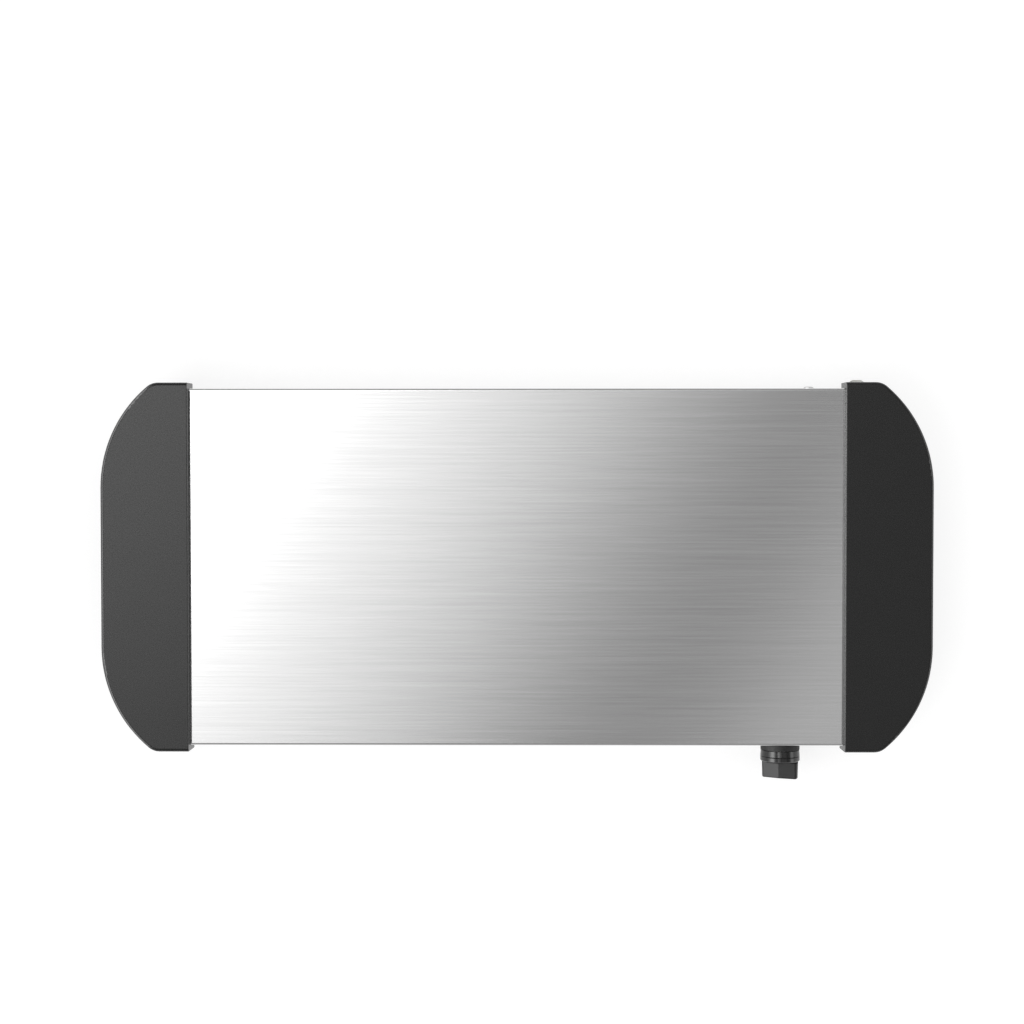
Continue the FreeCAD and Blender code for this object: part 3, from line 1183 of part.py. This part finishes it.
top_plate()
base_plate()
end_plate("right_end_plate", UP, True)
end_plate("left_end_plate", HALF_TURN, False)
end_cap("right_end_cap", UP, True)
end_cap("left_end_cap", HALF_TURN, False)
cap_cover("right_cap_cover", UP)
cap_cover("left_cap_cover", HALF_TURN)
heat_spreader()
heating_element()
element_ends()
element_clamps()
heat_shield()
insulation_blanket()
feet()
body_screws()
control_knob()
thermostat()
pilot_lamp()
earth_screw()
cord_gland()
terminal_block()
thermal_fuse()
inner_leads()
check_and_write()
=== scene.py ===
import json
import math
import bmesh
import bpy
from mathutils import Matrix, Vector


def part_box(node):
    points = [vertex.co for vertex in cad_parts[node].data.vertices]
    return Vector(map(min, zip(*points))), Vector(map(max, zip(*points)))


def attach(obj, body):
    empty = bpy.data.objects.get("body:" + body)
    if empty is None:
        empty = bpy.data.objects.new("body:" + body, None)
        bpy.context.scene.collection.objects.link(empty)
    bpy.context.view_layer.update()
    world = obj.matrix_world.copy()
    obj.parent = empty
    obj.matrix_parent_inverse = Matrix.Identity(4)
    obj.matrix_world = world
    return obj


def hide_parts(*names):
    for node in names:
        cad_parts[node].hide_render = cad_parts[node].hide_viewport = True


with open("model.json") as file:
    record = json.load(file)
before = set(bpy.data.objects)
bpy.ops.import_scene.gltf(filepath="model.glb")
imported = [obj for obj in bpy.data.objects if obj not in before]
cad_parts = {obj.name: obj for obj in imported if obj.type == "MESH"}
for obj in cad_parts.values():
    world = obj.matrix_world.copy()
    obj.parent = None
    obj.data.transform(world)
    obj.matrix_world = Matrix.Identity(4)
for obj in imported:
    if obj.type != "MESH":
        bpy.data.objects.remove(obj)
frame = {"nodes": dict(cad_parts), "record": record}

MM = 0.001
MICRON = 0.001 * MM
scene = bpy.context.scene
scene.view_settings.view_transform = "Standard"

GRIP_DEPTH = 12.6 * MM
SKIRT_BLEND = 0.6 * MM
SKIRT_ROUGHNESS, GRIP_ROUGHNESS = 0.15, 0.34
SKIRT_GLOSS, GRIP_GLOSS = 0.50, 0.29
LENS_PRISMS = 20

CAMERA_AT = Vector((0.0106, 0.0860, 1.354))
CAMERA_AIM = Vector((-0.0030, 0.0497, 0.054))
CAMERA_LENS = 63.46
SENSOR_WIDTH = 36.0
NEAR_CLIP = 0.01

NODE_SLOTS = {part["node"]: part["material_slot"] for part in frame["record"]["subparts"]}


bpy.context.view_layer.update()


# Node helpers


class Nodes:
    """A small builder for one node tree."""

    def __init__(self, tree):
        self.tree = tree
        tree.nodes.clear()

    def add(self, kind, links=None, **values):
        node = self.tree.nodes.new(kind)
        for name, value in values.items():
            setattr(node, name, value)
        for name, value in (links or {}).items():
            self.feed(node.inputs[name], value)
        return node

    def feed(self, socket, value):
        """Link an output to a socket, or set the socket's own value."""
        if isinstance(value, bpy.types.NodeSocket):
            self.tree.links.new(value, socket)
        elif isinstance(value, bpy.types.Node):
            self.tree.links.new(value.outputs[0], socket)
        else:
            socket.default_value = value

    def math(self, operation, a, b=0.0, clamp=False):
        node = self.add("ShaderNodeMath", operation=operation, use_clamp=clamp)
        self.feed(node.inputs[0], a)
        self.feed(node.inputs[1], b)
        return node.outputs[0]

    def ramp(self, factor, stops):
        """A colour ramp; each stop is a place and a grey or a colour."""
        node = self.add("ShaderNodeValToRGB", {"Fac": factor})
        ramp = node.color_ramp
        ramp.interpolation = "LINEAR"
        while len(ramp.elements) < len(stops):
            ramp.elements.new(1.0)
        for element, (place, colour) in zip(ramp.elements, stops):
            if not isinstance(colour, tuple):
                colour = (colour, colour, colour)
            element.position = place
            element.color = (*colour, 1.0)
        return node.outputs["Color"]

    def spread(self, factor, low, high, to_low, to_high):
        node = self.add("ShaderNodeMapRange", {"Value": factor, "From Min": low, "From Max": high,
                                               "To Min": to_low, "To Max": to_high})
        return node.outputs["Result"]

    def between(self, factor, a, b):
        """A number that goes from a to b as the factor rises."""
        return self.add("ShaderNodeMix", {"Factor": factor, 2: a, 3: b}, data_type="FLOAT").outputs[0]

    def part(self, vector, axis):
        return self.add("ShaderNodeSeparateXYZ", {"Vector": vector}).outputs[axis]

    def where(self, kind="Object"):
        return self.add("ShaderNodeTexCoord").outputs[kind]

    def place(self, scale):
        """Object coordinates, in metres, times a scale for each axis."""
        return self.add("ShaderNodeMapping", {"Vector": self.where(), "Scale": scale}).outputs[0]

    def noise(self, scale, detail=3.0, roughness=0.5, distortion=0.0):
        if not isinstance(scale, tuple):
            scale = (scale, scale, scale)
        return self.add("ShaderNodeTexNoise", {"Vector": self.place(scale), "Scale": 1.0, "Detail": detail,
                                               "Roughness": roughness, "Distortion": distortion}).outputs["Fac"]


def shader(name, colour, roughness, metallic=0.0, bump=None, gloss=None, **sockets):
    """A Principled material; colour, roughness and bump are made by functions of its nodes."""
    material = bpy.data.materials.new(name)
    material.use_nodes = True
    nodes = Nodes(material.node_tree)
    output = nodes.add("ShaderNodeOutputMaterial")
    surface = nodes.add("ShaderNodeBsdfPrincipled", {"Metallic": metallic, **sockets})
    nodes.feed(surface.inputs["Base Color"], colour(nodes) if callable(colour) else colour)
    nodes.feed(surface.inputs["Roughness"], roughness(nodes) if callable(roughness) else roughness)
    if gloss:
        nodes.feed(surface.inputs["Specular IOR Level"], gloss(nodes))
    if bump:
        height, distance = bump(nodes)
        relief = nodes.add("ShaderNodeBump", {"Height": height, "Distance": distance, "Strength": 1.0})
        nodes.feed(surface.inputs["Normal"], relief.outputs[0])
    nodes.feed(output.inputs["Surface"], surface.outputs[0])
    material.diffuse_color = (0.5, 0.5, 0.5, 1.0)
    return material


NOISE_LOW, NOISE_HIGH = 0.3, 0.7


def mottled(low, high, scale, detail=4.0):
    """Colour or grey that wanders between two values."""
    return lambda nodes: nodes.ramp(nodes.noise(scale, detail), [(NOISE_LOW, low), (NOISE_HIGH, high)])


def wander(low, high, scale, detail=3.0):
    """A number that wanders between two values."""
    return lambda nodes: nodes.spread(nodes.noise(scale, detail), NOISE_LOW, NOISE_HIGH, low, high)


def grain(scale, microns, detail=3.0):
    """A fine bump, with its depth in microns."""
    return lambda nodes: (nodes.noise(scale, detail), microns * MICRON)


# Materials

BRUSH_LONG = (9.0, 1100.0, 1100.0)
BRUSH_FINE = (26.0, 3600.0, 3600.0)
BRUSH_DETAIL, BRUSH_BREAK = 4.0, 0.6
COARSE_SHARE = 0.6
BRUSH_GREYS = [(0.30, 0.572), (0.50, 0.62), (0.70, 0.668)]
BRUSH_ROUGHNESS = (0.147, 0.163)
BRUSH_DEPTH = 3 * MICRON
SPANGLE_CELLS = (160.0, 160.0, 160.0)
WOOL_LENGTHWISE, WOOL_CROSSWISE = (500.0, 140.0, 900.0), (140.0, 500.0, 900.0)
WOOL_SHAPE = (6.0, 0.7, 1.2)
WOOL_COLOURS = [(0.35, (0.42, 0.36, 0.26)), (0.60, (0.72, 0.66, 0.53))]
WOOL_DEPTH = 1.2 * MM
EARTH_YELLOW, EARTH_GREEN = (0.55, 0.52, 0.03), (0.02, 0.16, 0.04)
SKIRT_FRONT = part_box("control_knob")[0][1] + GRIP_DEPTH
# How far the painted crease shade on the knob fades out, as a multiple of the skirt blend.
CREASE_SHADE_FADE = 1.3
LENS_DEPTH = 0.12 * MM


def brushed_colour(nodes):
    coarse = nodes.noise(BRUSH_LONG, BRUSH_DETAIL, BRUSH_BREAK)
    fine = nodes.noise(BRUSH_FINE, 3.0, BRUSH_BREAK)
    both = nodes.math("ADD", nodes.math("MULTIPLY", coarse, COARSE_SHARE),
                      nodes.math("MULTIPLY", fine, 1 - COARSE_SHARE))
    return nodes.ramp(both, BRUSH_GREYS)


def brushed_roughness(nodes):
    streaks = nodes.noise(BRUSH_LONG, BRUSH_DETAIL, BRUSH_BREAK)
    return nodes.spread(streaks, NOISE_LOW, NOISE_HIGH, *BRUSH_ROUGHNESS)


def brushed_bump(nodes):
    return nodes.noise(BRUSH_FINE, 2.0), BRUSH_DEPTH


def flakes(nodes):
    """A level for each crystal of a zinc coating."""
    cells = nodes.add("ShaderNodeTexVoronoi", {"Vector": nodes.place(SPANGLE_CELLS), "Scale": 1.0})
    return nodes.math("MULTIPLY", cells.outputs["Color"], 1.0)


def spangle(nodes):
    return nodes.ramp(flakes(nodes), [(0.0, 0.50), (1.0, 0.62)])


def spangle_roughness(nodes):
    return nodes.spread(flakes(nodes), 0.0, 1.0, 0.30, 0.42)


def fibres(nodes):
    long, cross = (nodes.noise(scale, *WOOL_SHAPE) for scale in (WOOL_LENGTHWISE, WOOL_CROSSWISE))
    return nodes.math("MULTIPLY", nodes.math("ADD", long, cross), 0.5)


def wool_colour(nodes):
    return nodes.ramp(fibres(nodes), WOOL_COLOURS)


def wool_bump(nodes):
    return fibres(nodes), WOOL_DEPTH


def earth_stripes(nodes):
    """Yellow below and green above, along each lead."""
    upward = nodes.part(nodes.where("Normal"), "Z")
    return nodes.ramp(nodes.spread(upward, -1.0, 1.0, 0.0, 1.0),
                      [(0.0, EARTH_YELLOW), (0.58, EARTH_YELLOW), (0.62, EARTH_GREEN), (1.0, EARTH_GREEN)])


def knob_roughness(nodes):
    """A polished skirt, and a satin grip in front of it."""
    forward = nodes.part(nodes.where(), "Y")
    polish = nodes.spread(forward, SKIRT_FRONT - SKIRT_BLEND, SKIRT_FRONT, GRIP_ROUGHNESS, SKIRT_ROUGHNESS)
    return nodes.math("ADD", polish, nodes.spread(nodes.noise(1500.0), NOISE_LOW, NOISE_HIGH, -0.02, 0.02))


def knob_gloss(nodes):
    """A glossy skirt, a duller grip, and painted shade where one turns into the other: a ring with no specular
    reflection that stands in for the shadow in the crease.
    """
    forward = nodes.part(nodes.where(), "Y")
    ring = nodes.math("ABSOLUTE", nodes.math("SUBTRACT", forward, SKIRT_FRONT - SKIRT_BLEND / 2))
    either = nodes.spread(forward, SKIRT_FRONT - SKIRT_BLEND, SKIRT_FRONT, GRIP_GLOSS, SKIRT_GLOSS)
    # Painted shade: the ring where the skirt meets the grip gets no specular reflection, so it stays dark like a
    # shadowed crease.
    outside_crease_shade = nodes.spread(ring, SKIRT_BLEND, SKIRT_BLEND * CREASE_SHADE_FADE, 0.0, 1.0)
    return nodes.math("MULTIPLY", either, outside_crease_shade)


def lens_prisms(nodes):
    """Radial prisms moulded inside the pilot lens."""
    low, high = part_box("pilot_lens")
    centre = ((low[0] + high[0]) / 2, 0.0, (low[2] + high[2]) / 2)
    offset = nodes.add("ShaderNodeVectorMath", {0: nodes.where(), 1: centre}, operation="SUBTRACT").outputs[0]
    turn = nodes.math("ARCTAN2", nodes.part(offset, "Z"), nodes.part(offset, "X"))
    return nodes.math("SINE", nodes.math("MULTIPLY", turn, LENS_PRISMS)), LENS_DEPTH


MATERIALS = {
    "plate_steel": shader("plate_steel", brushed_colour, brushed_roughness, 1.0, brushed_bump),
    "zinc_sheet": shader("zinc_sheet", spangle, spangle_roughness, 1.0, grain(900.0, 10)),
    "black_moulding": shader("black_moulding", mottled(0.0024, 0.0034, 60.0), wander(0.25, 0.31, 900.0), 0.0,
                             grain(2000.0, 8, 2.0)),
    "knob_moulding": shader("knob_moulding", mottled(0.012, 0.015, 200.0), knob_roughness, 0.0,
                            grain(3000.0, 6, 2.0), knob_gloss),
    "foot_rubber": shader("foot_rubber", mottled(0.014, 0.024, 300.0), wander(0.70, 0.85, 800.0), 0.0,
                          grain(2200.0, 40)),
    "aluminium_sheet": shader("aluminium_sheet", mottled(0.70, 0.78, (20.0, 900.0, 900.0)),
                              wander(0.32, 0.42, (20.0, 900.0, 900.0)), 1.0, grain((20.0, 2000.0, 2000.0), 10)),
    "element_sheath": shader("element_sheath", mottled((0.16, 0.13, 0.11), (0.30, 0.27, 0.25), 90.0, 6.0),
                             wander(0.45, 0.62, 400.0), 1.0, grain(1500.0, 20)),
    "mineral_wool": shader("mineral_wool", wool_colour, 0.95, 0.0, wool_bump),
    "white_ceramic": shader("white_ceramic", mottled((0.74, 0.72, 0.67), (0.82, 0.80, 0.76), 500.0),
                            wander(0.28, 0.45, 600.0), 0.0, grain(1800.0, 20)),
    "screw_steel": shader("screw_steel", mottled(0.52, 0.62, 700.0), wander(0.24, 0.36, 900.0), 1.0,
                          grain(2500.0, 10)),
    "spring_brass": shader("spring_brass", mottled((0.66, 0.46, 0.17), (0.78, 0.58, 0.26), 250.0),
                           wander(0.24, 0.36, 900.0), 1.0, grain(2500.0, 6)),
    "natural_nylon": shader("natural_nylon", mottled((0.60, 0.60, 0.57), (0.67, 0.67, 0.64), 400.0),
                            wander(0.34, 0.44, 900.0), 0.0, grain(2000.0, 10)),
    "lens_plastic": shader("lens_plastic", mottled((0.80, 0.22, 0.03), (0.86, 0.28, 0.05), 400.0),
                           wander(0.10, 0.16, 900.0), 0.0, lens_prisms, **{"Transmission Weight": 0.35}),
    "lead_black": shader("lead_black", mottled(0.018, 0.026, 500.0), wander(0.42, 0.52, 900.0), 0.0,
                         grain(2500.0, 10)),
    "lead_white": shader("lead_white", mottled((0.66, 0.65, 0.62), (0.74, 0.73, 0.70), 500.0),
                         wander(0.42, 0.52, 900.0), 0.0, grain(2500.0, 10)),
    "lead_earth": shader("lead_earth", earth_stripes, wander(0.42, 0.52, 900.0), 0.0, grain(2500.0, 10)),
}
# A matt black collar; its black, darker than the knob's moulding, is partly painted shade for the shade next to
# the front flange under the plate's edge.
BEZEL_PAINTED_SHADE_BLACK = shader("bezel_black_painted_shade", mottled(0.004, 0.006, 300.0), wander(0.55, 0.65, 1500.0), 0.0,
                     grain(2600.0, 10))
DIAL_INK = shader("dial_ink", mottled(0.010, 0.016, 900.0), wander(0.42, 0.52, 1500.0), 0.0, grain(4000.0, 3))
POINTER_WHITE = shader("pointer_white", mottled(0.72, 0.78, 900.0), wander(0.35, 0.45, 1500.0), 0.0,
                       grain(4000.0, 4))

for node, slot in NODE_SLOTS.items():
    thing = frame["nodes"][node]
    for holder in thing.material_slots:
        holder.material = MATERIALS[slot]
    if not thing.material_slots:
        thing.data.materials.append(MATERIALS[slot])
# The bezel takes the darker black, with its painted shade.
for holder in frame["nodes"]["knob_bezel"].material_slots:
    holder.material = BEZEL_PAINTED_SHADE_BLACK


# Pieces that the frame lacks: the printed dial, the pointer and the turned gland


def box_of(node):
    low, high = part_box(node)
    return Vector(low), Vector(high)


KNOB_LOW = box_of("control_knob")[0]
FRONT_FACE = box_of("top_plate")[0].y
BEZEL_LOW, BEZEL_HIGH = box_of("knob_bezel")
KNOB_AXIS = (BEZEL_LOW + BEZEL_HIGH) / 2
BEZEL_RADIUS = (BEZEL_HIGH.x - BEZEL_LOW.x) / 2

OFF_ANGLE = math.radians(206)
DIAL_SWEEP = math.radians(250)
DIAL_STEPS = 5
FINE_STEPS = 5
INK = 0.03 * MM
END_STEPS = 6
DIGIT_SHARE = 0.70
DIGIT_STROKE = 0.07 * MM
TICK_START = BEZEL_RADIUS + 0.6 * MM
LONG_TICK, SHORT_TICK = 1.3 * MM, 0.8 * MM
TICK_WIDTH = 0.40 * MM
DIGIT_RING = BEZEL_RADIUS + 3.5 * MM
DIGIT_HEIGHT = 2.8 * MM


def new_piece(name, build, body, material, smooth=None):
    """A mesh piece from a bmesh, on a body and its finish."""
    mesh = bpy.data.meshes.new(name)
    bmesh.ops.recalc_face_normals(build, faces=build.faces)
    build.to_mesh(mesh)
    build.free()
    piece = bpy.data.objects.new(name, mesh)
    scene.collection.objects.link(piece)
    mesh.materials.append(material)
    if smooth is not None:
        mesh.shade_smooth()
        mesh.set_sharp_from_angle(angle=smooth)
    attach(piece, body)
    return piece


def on_front(radius, angle, y):
    """A point round the knob's axis; the angle runs anticlockwise from +X, as seen from the front."""
    return Vector((KNOB_AXIS.x + radius * math.cos(angle), y, KNOB_AXIS.z + radius * math.sin(angle)))


def slab(build, corners, y, thickness):
    """A closed slab with the given outline, its back at y."""
    back = [build.verts.new((point.x, y, point.z)) for point in corners]
    front = [build.verts.new((point.x, y - thickness, point.z)) for point in corners]
    build.faces.new(back)
    build.faces.new(reversed(front))
    for index in range(len(corners)):
        follow = (index + 1) % len(corners)
        build.faces.new((back[index], back[follow], front[follow], front[index]))


def ray_slab(build, inner, outer, width, angle, y, thickness):
    """A bar that points away from the knob's axis, with rounded ends."""
    along = Vector((math.cos(angle), 0.0, math.sin(angle)))
    aside = Vector((-along.z, 0.0, along.x))
    centre = Vector((KNOB_AXIS.x, y, KNOB_AXIS.z))
    corners = []
    for reach, start in ((outer - width / 2, -90), (inner + width / 2, 90)):
        for step in range(END_STEPS + 1):
            turn = math.radians(start + 180 / END_STEPS * step)
            spot = centre + along * (reach + width / 2 * math.cos(turn)) + aside * (width / 2 * math.sin(turn))
            corners.append(spot)
    slab(build, corners, y, thickness)


def dial_number(text, angle, radius, height):
    """One printed digit beside its mark, upright."""
    curve = bpy.data.curves.new("digit", "FONT")
    curve.body = text
    curve.size = height / DIGIT_SHARE
    curve.align_x = "CENTER"
    curve.align_y = "CENTER"
    curve.extrude = INK / 2
    curve.offset = DIGIT_STROKE
    maker = bpy.data.objects.new("digit", curve)
    mesh = bpy.data.meshes.new_from_object(maker)
    place = on_front(radius, angle, FRONT_FACE - INK / 2)
    mesh.transform(Matrix.Translation(place) @ Matrix.Rotation(math.radians(90), 4, "X"))
    bpy.data.objects.remove(maker)
    return mesh


def dial():
    """Ticks and the numbers 0 to 5, printed on the front flange round the knob."""
    build = bmesh.new()
    for step in range(DIAL_STEPS * FINE_STEPS + 1):
        angle = OFF_ANGLE - DIAL_SWEEP * step / (DIAL_STEPS * FINE_STEPS)
        length = SHORT_TICK if step % FINE_STEPS else LONG_TICK
        ray_slab(build, TICK_START, TICK_START + length, TICK_WIDTH, angle, FRONT_FACE, INK)
    for number in range(DIAL_STEPS + 1):
        angle = OFF_ANGLE - DIAL_SWEEP * number / DIAL_STEPS
        digit = dial_number(str(number), angle, DIGIT_RING, DIGIT_HEIGHT)
        build.from_mesh(digit)
        bpy.data.meshes.remove(digit)
    new_piece("dial_marks", build, "tray", DIAL_INK)


dial()

POINTER_WIDTH = 1.0 * MM
POINTER_INNER, POINTER_OUTER = 2.5 * MM, 10.8 * MM


def pointer():
    """White line let into the front of the grip, towards the end that points at the number."""
    build = bmesh.new()
    ray_slab(build, POINTER_INNER, POINTER_OUTER, POINTER_WIDTH, OFF_ANGLE, KNOB_LOW.y, INK)
    new_piece("knob_pointer", build, "knob", POINTER_WHITE)


pointer()

GLAND_LOW, GLAND_HIGH = box_of("cord_gland")
GLAND_AXIS = (GLAND_LOW + GLAND_HIGH) / 2
CAP_BACK = box_of("right_end_cap")[1].y
GLAND_SIDES = 64
GLAND_CREASE = math.radians(40)
GROOVE_PLACES = (0.35, 0.68)


def turned_along_y(build, profile, axis, sides):
    """A closed ring section, given as (radius, y), turned round an axis along Y."""
    rings = []
    for index in range(sides):
        angle = 2 * math.pi * index / sides
        rings.append([build.verts.new((axis.x + radius * math.cos(angle), y, axis.z + radius * math.sin(angle)))
                      for radius, y in profile])
    for index, ring in enumerate(rings):
        follow = rings[(index + 1) % sides]
        for point in range(len(profile)):
            after = (point + 1) % len(profile)
            build.faces.new((ring[point], ring[after], follow[after], follow[point]))


def gland():
    """Nylon cord gland: barrel in the wall, collar, and a coned nose with two fine grooves."""
    bore, barrel, collar = 2.7 * MM, 4.6 * MM, 5.2 * MM
    nose, lip = 3.3 * MM, 0.3 * MM
    back, seat, tip = GLAND_LOW.y, CAP_BACK - 0.2 * MM, CAP_BACK + 1.6 * MM
    groove = 0.10 * MM
    profile = [(bore, back), (barrel, back), (barrel, seat), (collar, seat), (collar, CAP_BACK + lip)]
    for share in GROOVE_PLACES:
        radius = collar + (nose - collar) * share
        y = CAP_BACK + lip + (tip - CAP_BACK - lip) * share
        profile += [(radius + groove, y - groove), (radius - groove, y), (radius, y + groove)]
    profile += [(nose, tip - lip), (nose - lip, tip), (bore + lip, tip), (bore, tip - lip)]
    build = bmesh.new()
    turned_along_y(build, profile, GLAND_AXIS, GLAND_SIDES)
    piece = new_piece("turned_gland", build, "tray", MATERIALS["natural_nylon"], GLAND_CREASE)
    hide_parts("cord_gland")


gland()


# Camera, floor and light

camera = bpy.data.objects.new("camera", bpy.data.cameras.new("camera"))
camera.data.lens = CAMERA_LENS
camera.data.sensor_width = SENSOR_WIDTH
camera.data.clip_start = NEAR_CLIP
backward = (CAMERA_AT - CAMERA_AIM).normalized()
upward = backward.cross(Vector((1.0, 0.0, 0.0))).normalized()
turn = Matrix((upward.cross(backward), upward, backward)).transposed()
camera.location = CAMERA_AT
camera.rotation_euler = turn.to_euler()
scene.collection.objects.link(camera)
scene.camera = camera


FLOOR_HALF = 3.0
FLOOR_GREY = (0.42, 0.42, 0.42, 1.0)
FLOOR_GLOW = 0.68
WHITE = (1.0, 1.0, 1.0, 1.0)


def pale_floor():
    """A pale floor that takes the object's shadow and is clear when seen from below."""
    mesh = bpy.data.meshes.new("floor")
    build = bmesh.new()
    bmesh.ops.create_grid(build, x_segments=1, y_segments=1, size=FLOOR_HALF)
    build.to_mesh(mesh)
    build.free()
    floor = bpy.data.objects.new("floor", mesh)
    scene.collection.objects.link(floor)
    material = bpy.data.materials.new("floor_white")
    material.use_nodes = True
    nodes = Nodes(material.node_tree)
    matt = nodes.add("ShaderNodeBsdfDiffuse", {"Color": FLOOR_GREY})
    path = nodes.add("ShaderNodeLightPath")
    seen = nodes.math("ADD", path.outputs["Is Camera Ray"], path.outputs["Is Glossy Ray"])
    seen = nodes.math("ADD", seen, path.outputs["Is Transmission Ray"], clamp=True)
    glow = nodes.add("ShaderNodeEmission", {"Color": WHITE})
    nodes.feed(glow.inputs["Strength"], nodes.math("MULTIPLY", seen, FLOOR_GLOW))
    both = nodes.add("ShaderNodeAddShader", {0: matt.outputs[0], 1: glow.outputs[0]})
    below = nodes.add("ShaderNodeNewGeometry").outputs["Backfacing"]
    clear = nodes.add("ShaderNodeBsdfTransparent")
    either = nodes.add("ShaderNodeMixShader", {"Fac": below, 1: both.outputs[0], 2: clear.outputs[0]})
    nodes.add("ShaderNodeOutputMaterial", {"Surface": either.outputs[0]})
    mesh.materials.append(material)


pale_floor()


SKY_SLANT = 0.56
SKY_REACH = 1.0
SKY_PEAK = 12.0
DIFFUSE_LEVEL = 0.75
LEAST_HEIGHT = 0.05
HORIZON_FADE, OVERHEAD_FADE = (0.05, 0.25), (0.92, 0.96)
SKY = [(-1.0, 1.5), (-0.45, 5.4), (-0.21, 3.9), (-0.155, 1.54), (-0.074, 1.37), (0.006, 0.95), (0.076, 0.51),
       (0.137, 0.245), (0.187, 0.38), (0.25, 0.89), (0.31, 0.44), (0.42, 0.40), (0.50, 0.12), (1.0, 0.12)]
SIDE = [(-1.0, 1.2), (-0.94, 2.4), (-0.84, 6.4), (-0.70, 6.4), (-0.60, 1.8), (-0.50, 0.7), (-0.32, 0.4),
        (0.0, 0.35), (0.15, 0.35), (0.28, 0.60), (0.44, 0.60), (0.58, 0.15), (0.78, 0.4), (0.88, 2.6), (0.93, 2.6),
        (1.0, 1.2)]


def levels(nodes, reach, stops):
    """A light level by direction, through a ramp that runs from -SKY_REACH to SKY_REACH."""
    place = nodes.spread(reach, -SKY_REACH, SKY_REACH, 0.0, 1.0)
    scaled = [((at + SKY_REACH) / (2 * SKY_REACH), level / SKY_PEAK) for at, level in stops]
    return nodes.math("MULTIPLY", nodes.ramp(place, scaled), SKY_PEAK)


def studio_world():
    """White to the camera, one level for diffuse light, and levels by direction for glossy rays."""
    world = bpy.data.worlds.new("studio")
    scene.world = world
    world.use_nodes = True
    nodes = Nodes(world.node_tree)
    path = nodes.add("ShaderNodeLightPath")
    direction = nodes.add("ShaderNodeTexCoord").outputs["Generated"]
    parts = nodes.add("ShaderNodeSeparateXYZ", {"Vector": direction})
    x, y, z = parts.outputs
    height = nodes.math("MAXIMUM", z, LEAST_HEIGHT)
    across = nodes.math("DIVIDE", nodes.math("SUBTRACT", x, nodes.math("MULTIPLY", y, SKY_SLANT)), height)
    wall = nodes.between(nodes.spread(z, *HORIZON_FADE, 0.0, 1.0), 1.0, levels(nodes, x, SIDE))
    gloss = nodes.between(nodes.spread(z, *OVERHEAD_FADE, 0.0, 1.0), wall, levels(nodes, across, SKY))
    plain = nodes.math("ADD", path.outputs["Is Camera Ray"], path.outputs["Is Transmission Ray"], clamp=True)
    level = nodes.between(path.outputs["Is Glossy Ray"], DIFFUSE_LEVEL, gloss)
    light = nodes.add("ShaderNodeBackground", {"Color": WHITE, "Strength": nodes.between(plain, level, 1.0)})
    nodes.add("ShaderNodeOutputWorld", {"Surface": light.outputs[0]})


studio_world()


def softbox(name, at, aim, size, power):
    """A rectangular lamp that glossy surfaces don't mirror."""
    lamp = bpy.data.lights.new(name, "AREA")
    lamp.shape = "RECTANGLE"
    lamp.size, lamp.size_y = size
    lamp.energy = power
    holder = bpy.data.objects.new(name, lamp)
    holder.location = at
    holder.rotation_euler = (Vector(aim) - Vector(at)).to_track_quat("-Z", "Y").to_euler()
    holder.visible_glossy = False
    scene.collection.objects.link(holder)


softbox("key_light", (-0.9, -0.6, 1.7), (0.0, 0.0, 0.03), (1.2, 1.2), 9.0)
softbox("fill_light", (1.1, 0.9, 1.5), (0.0, 0.0, 0.03), (1.4, 1.4), 4.0)
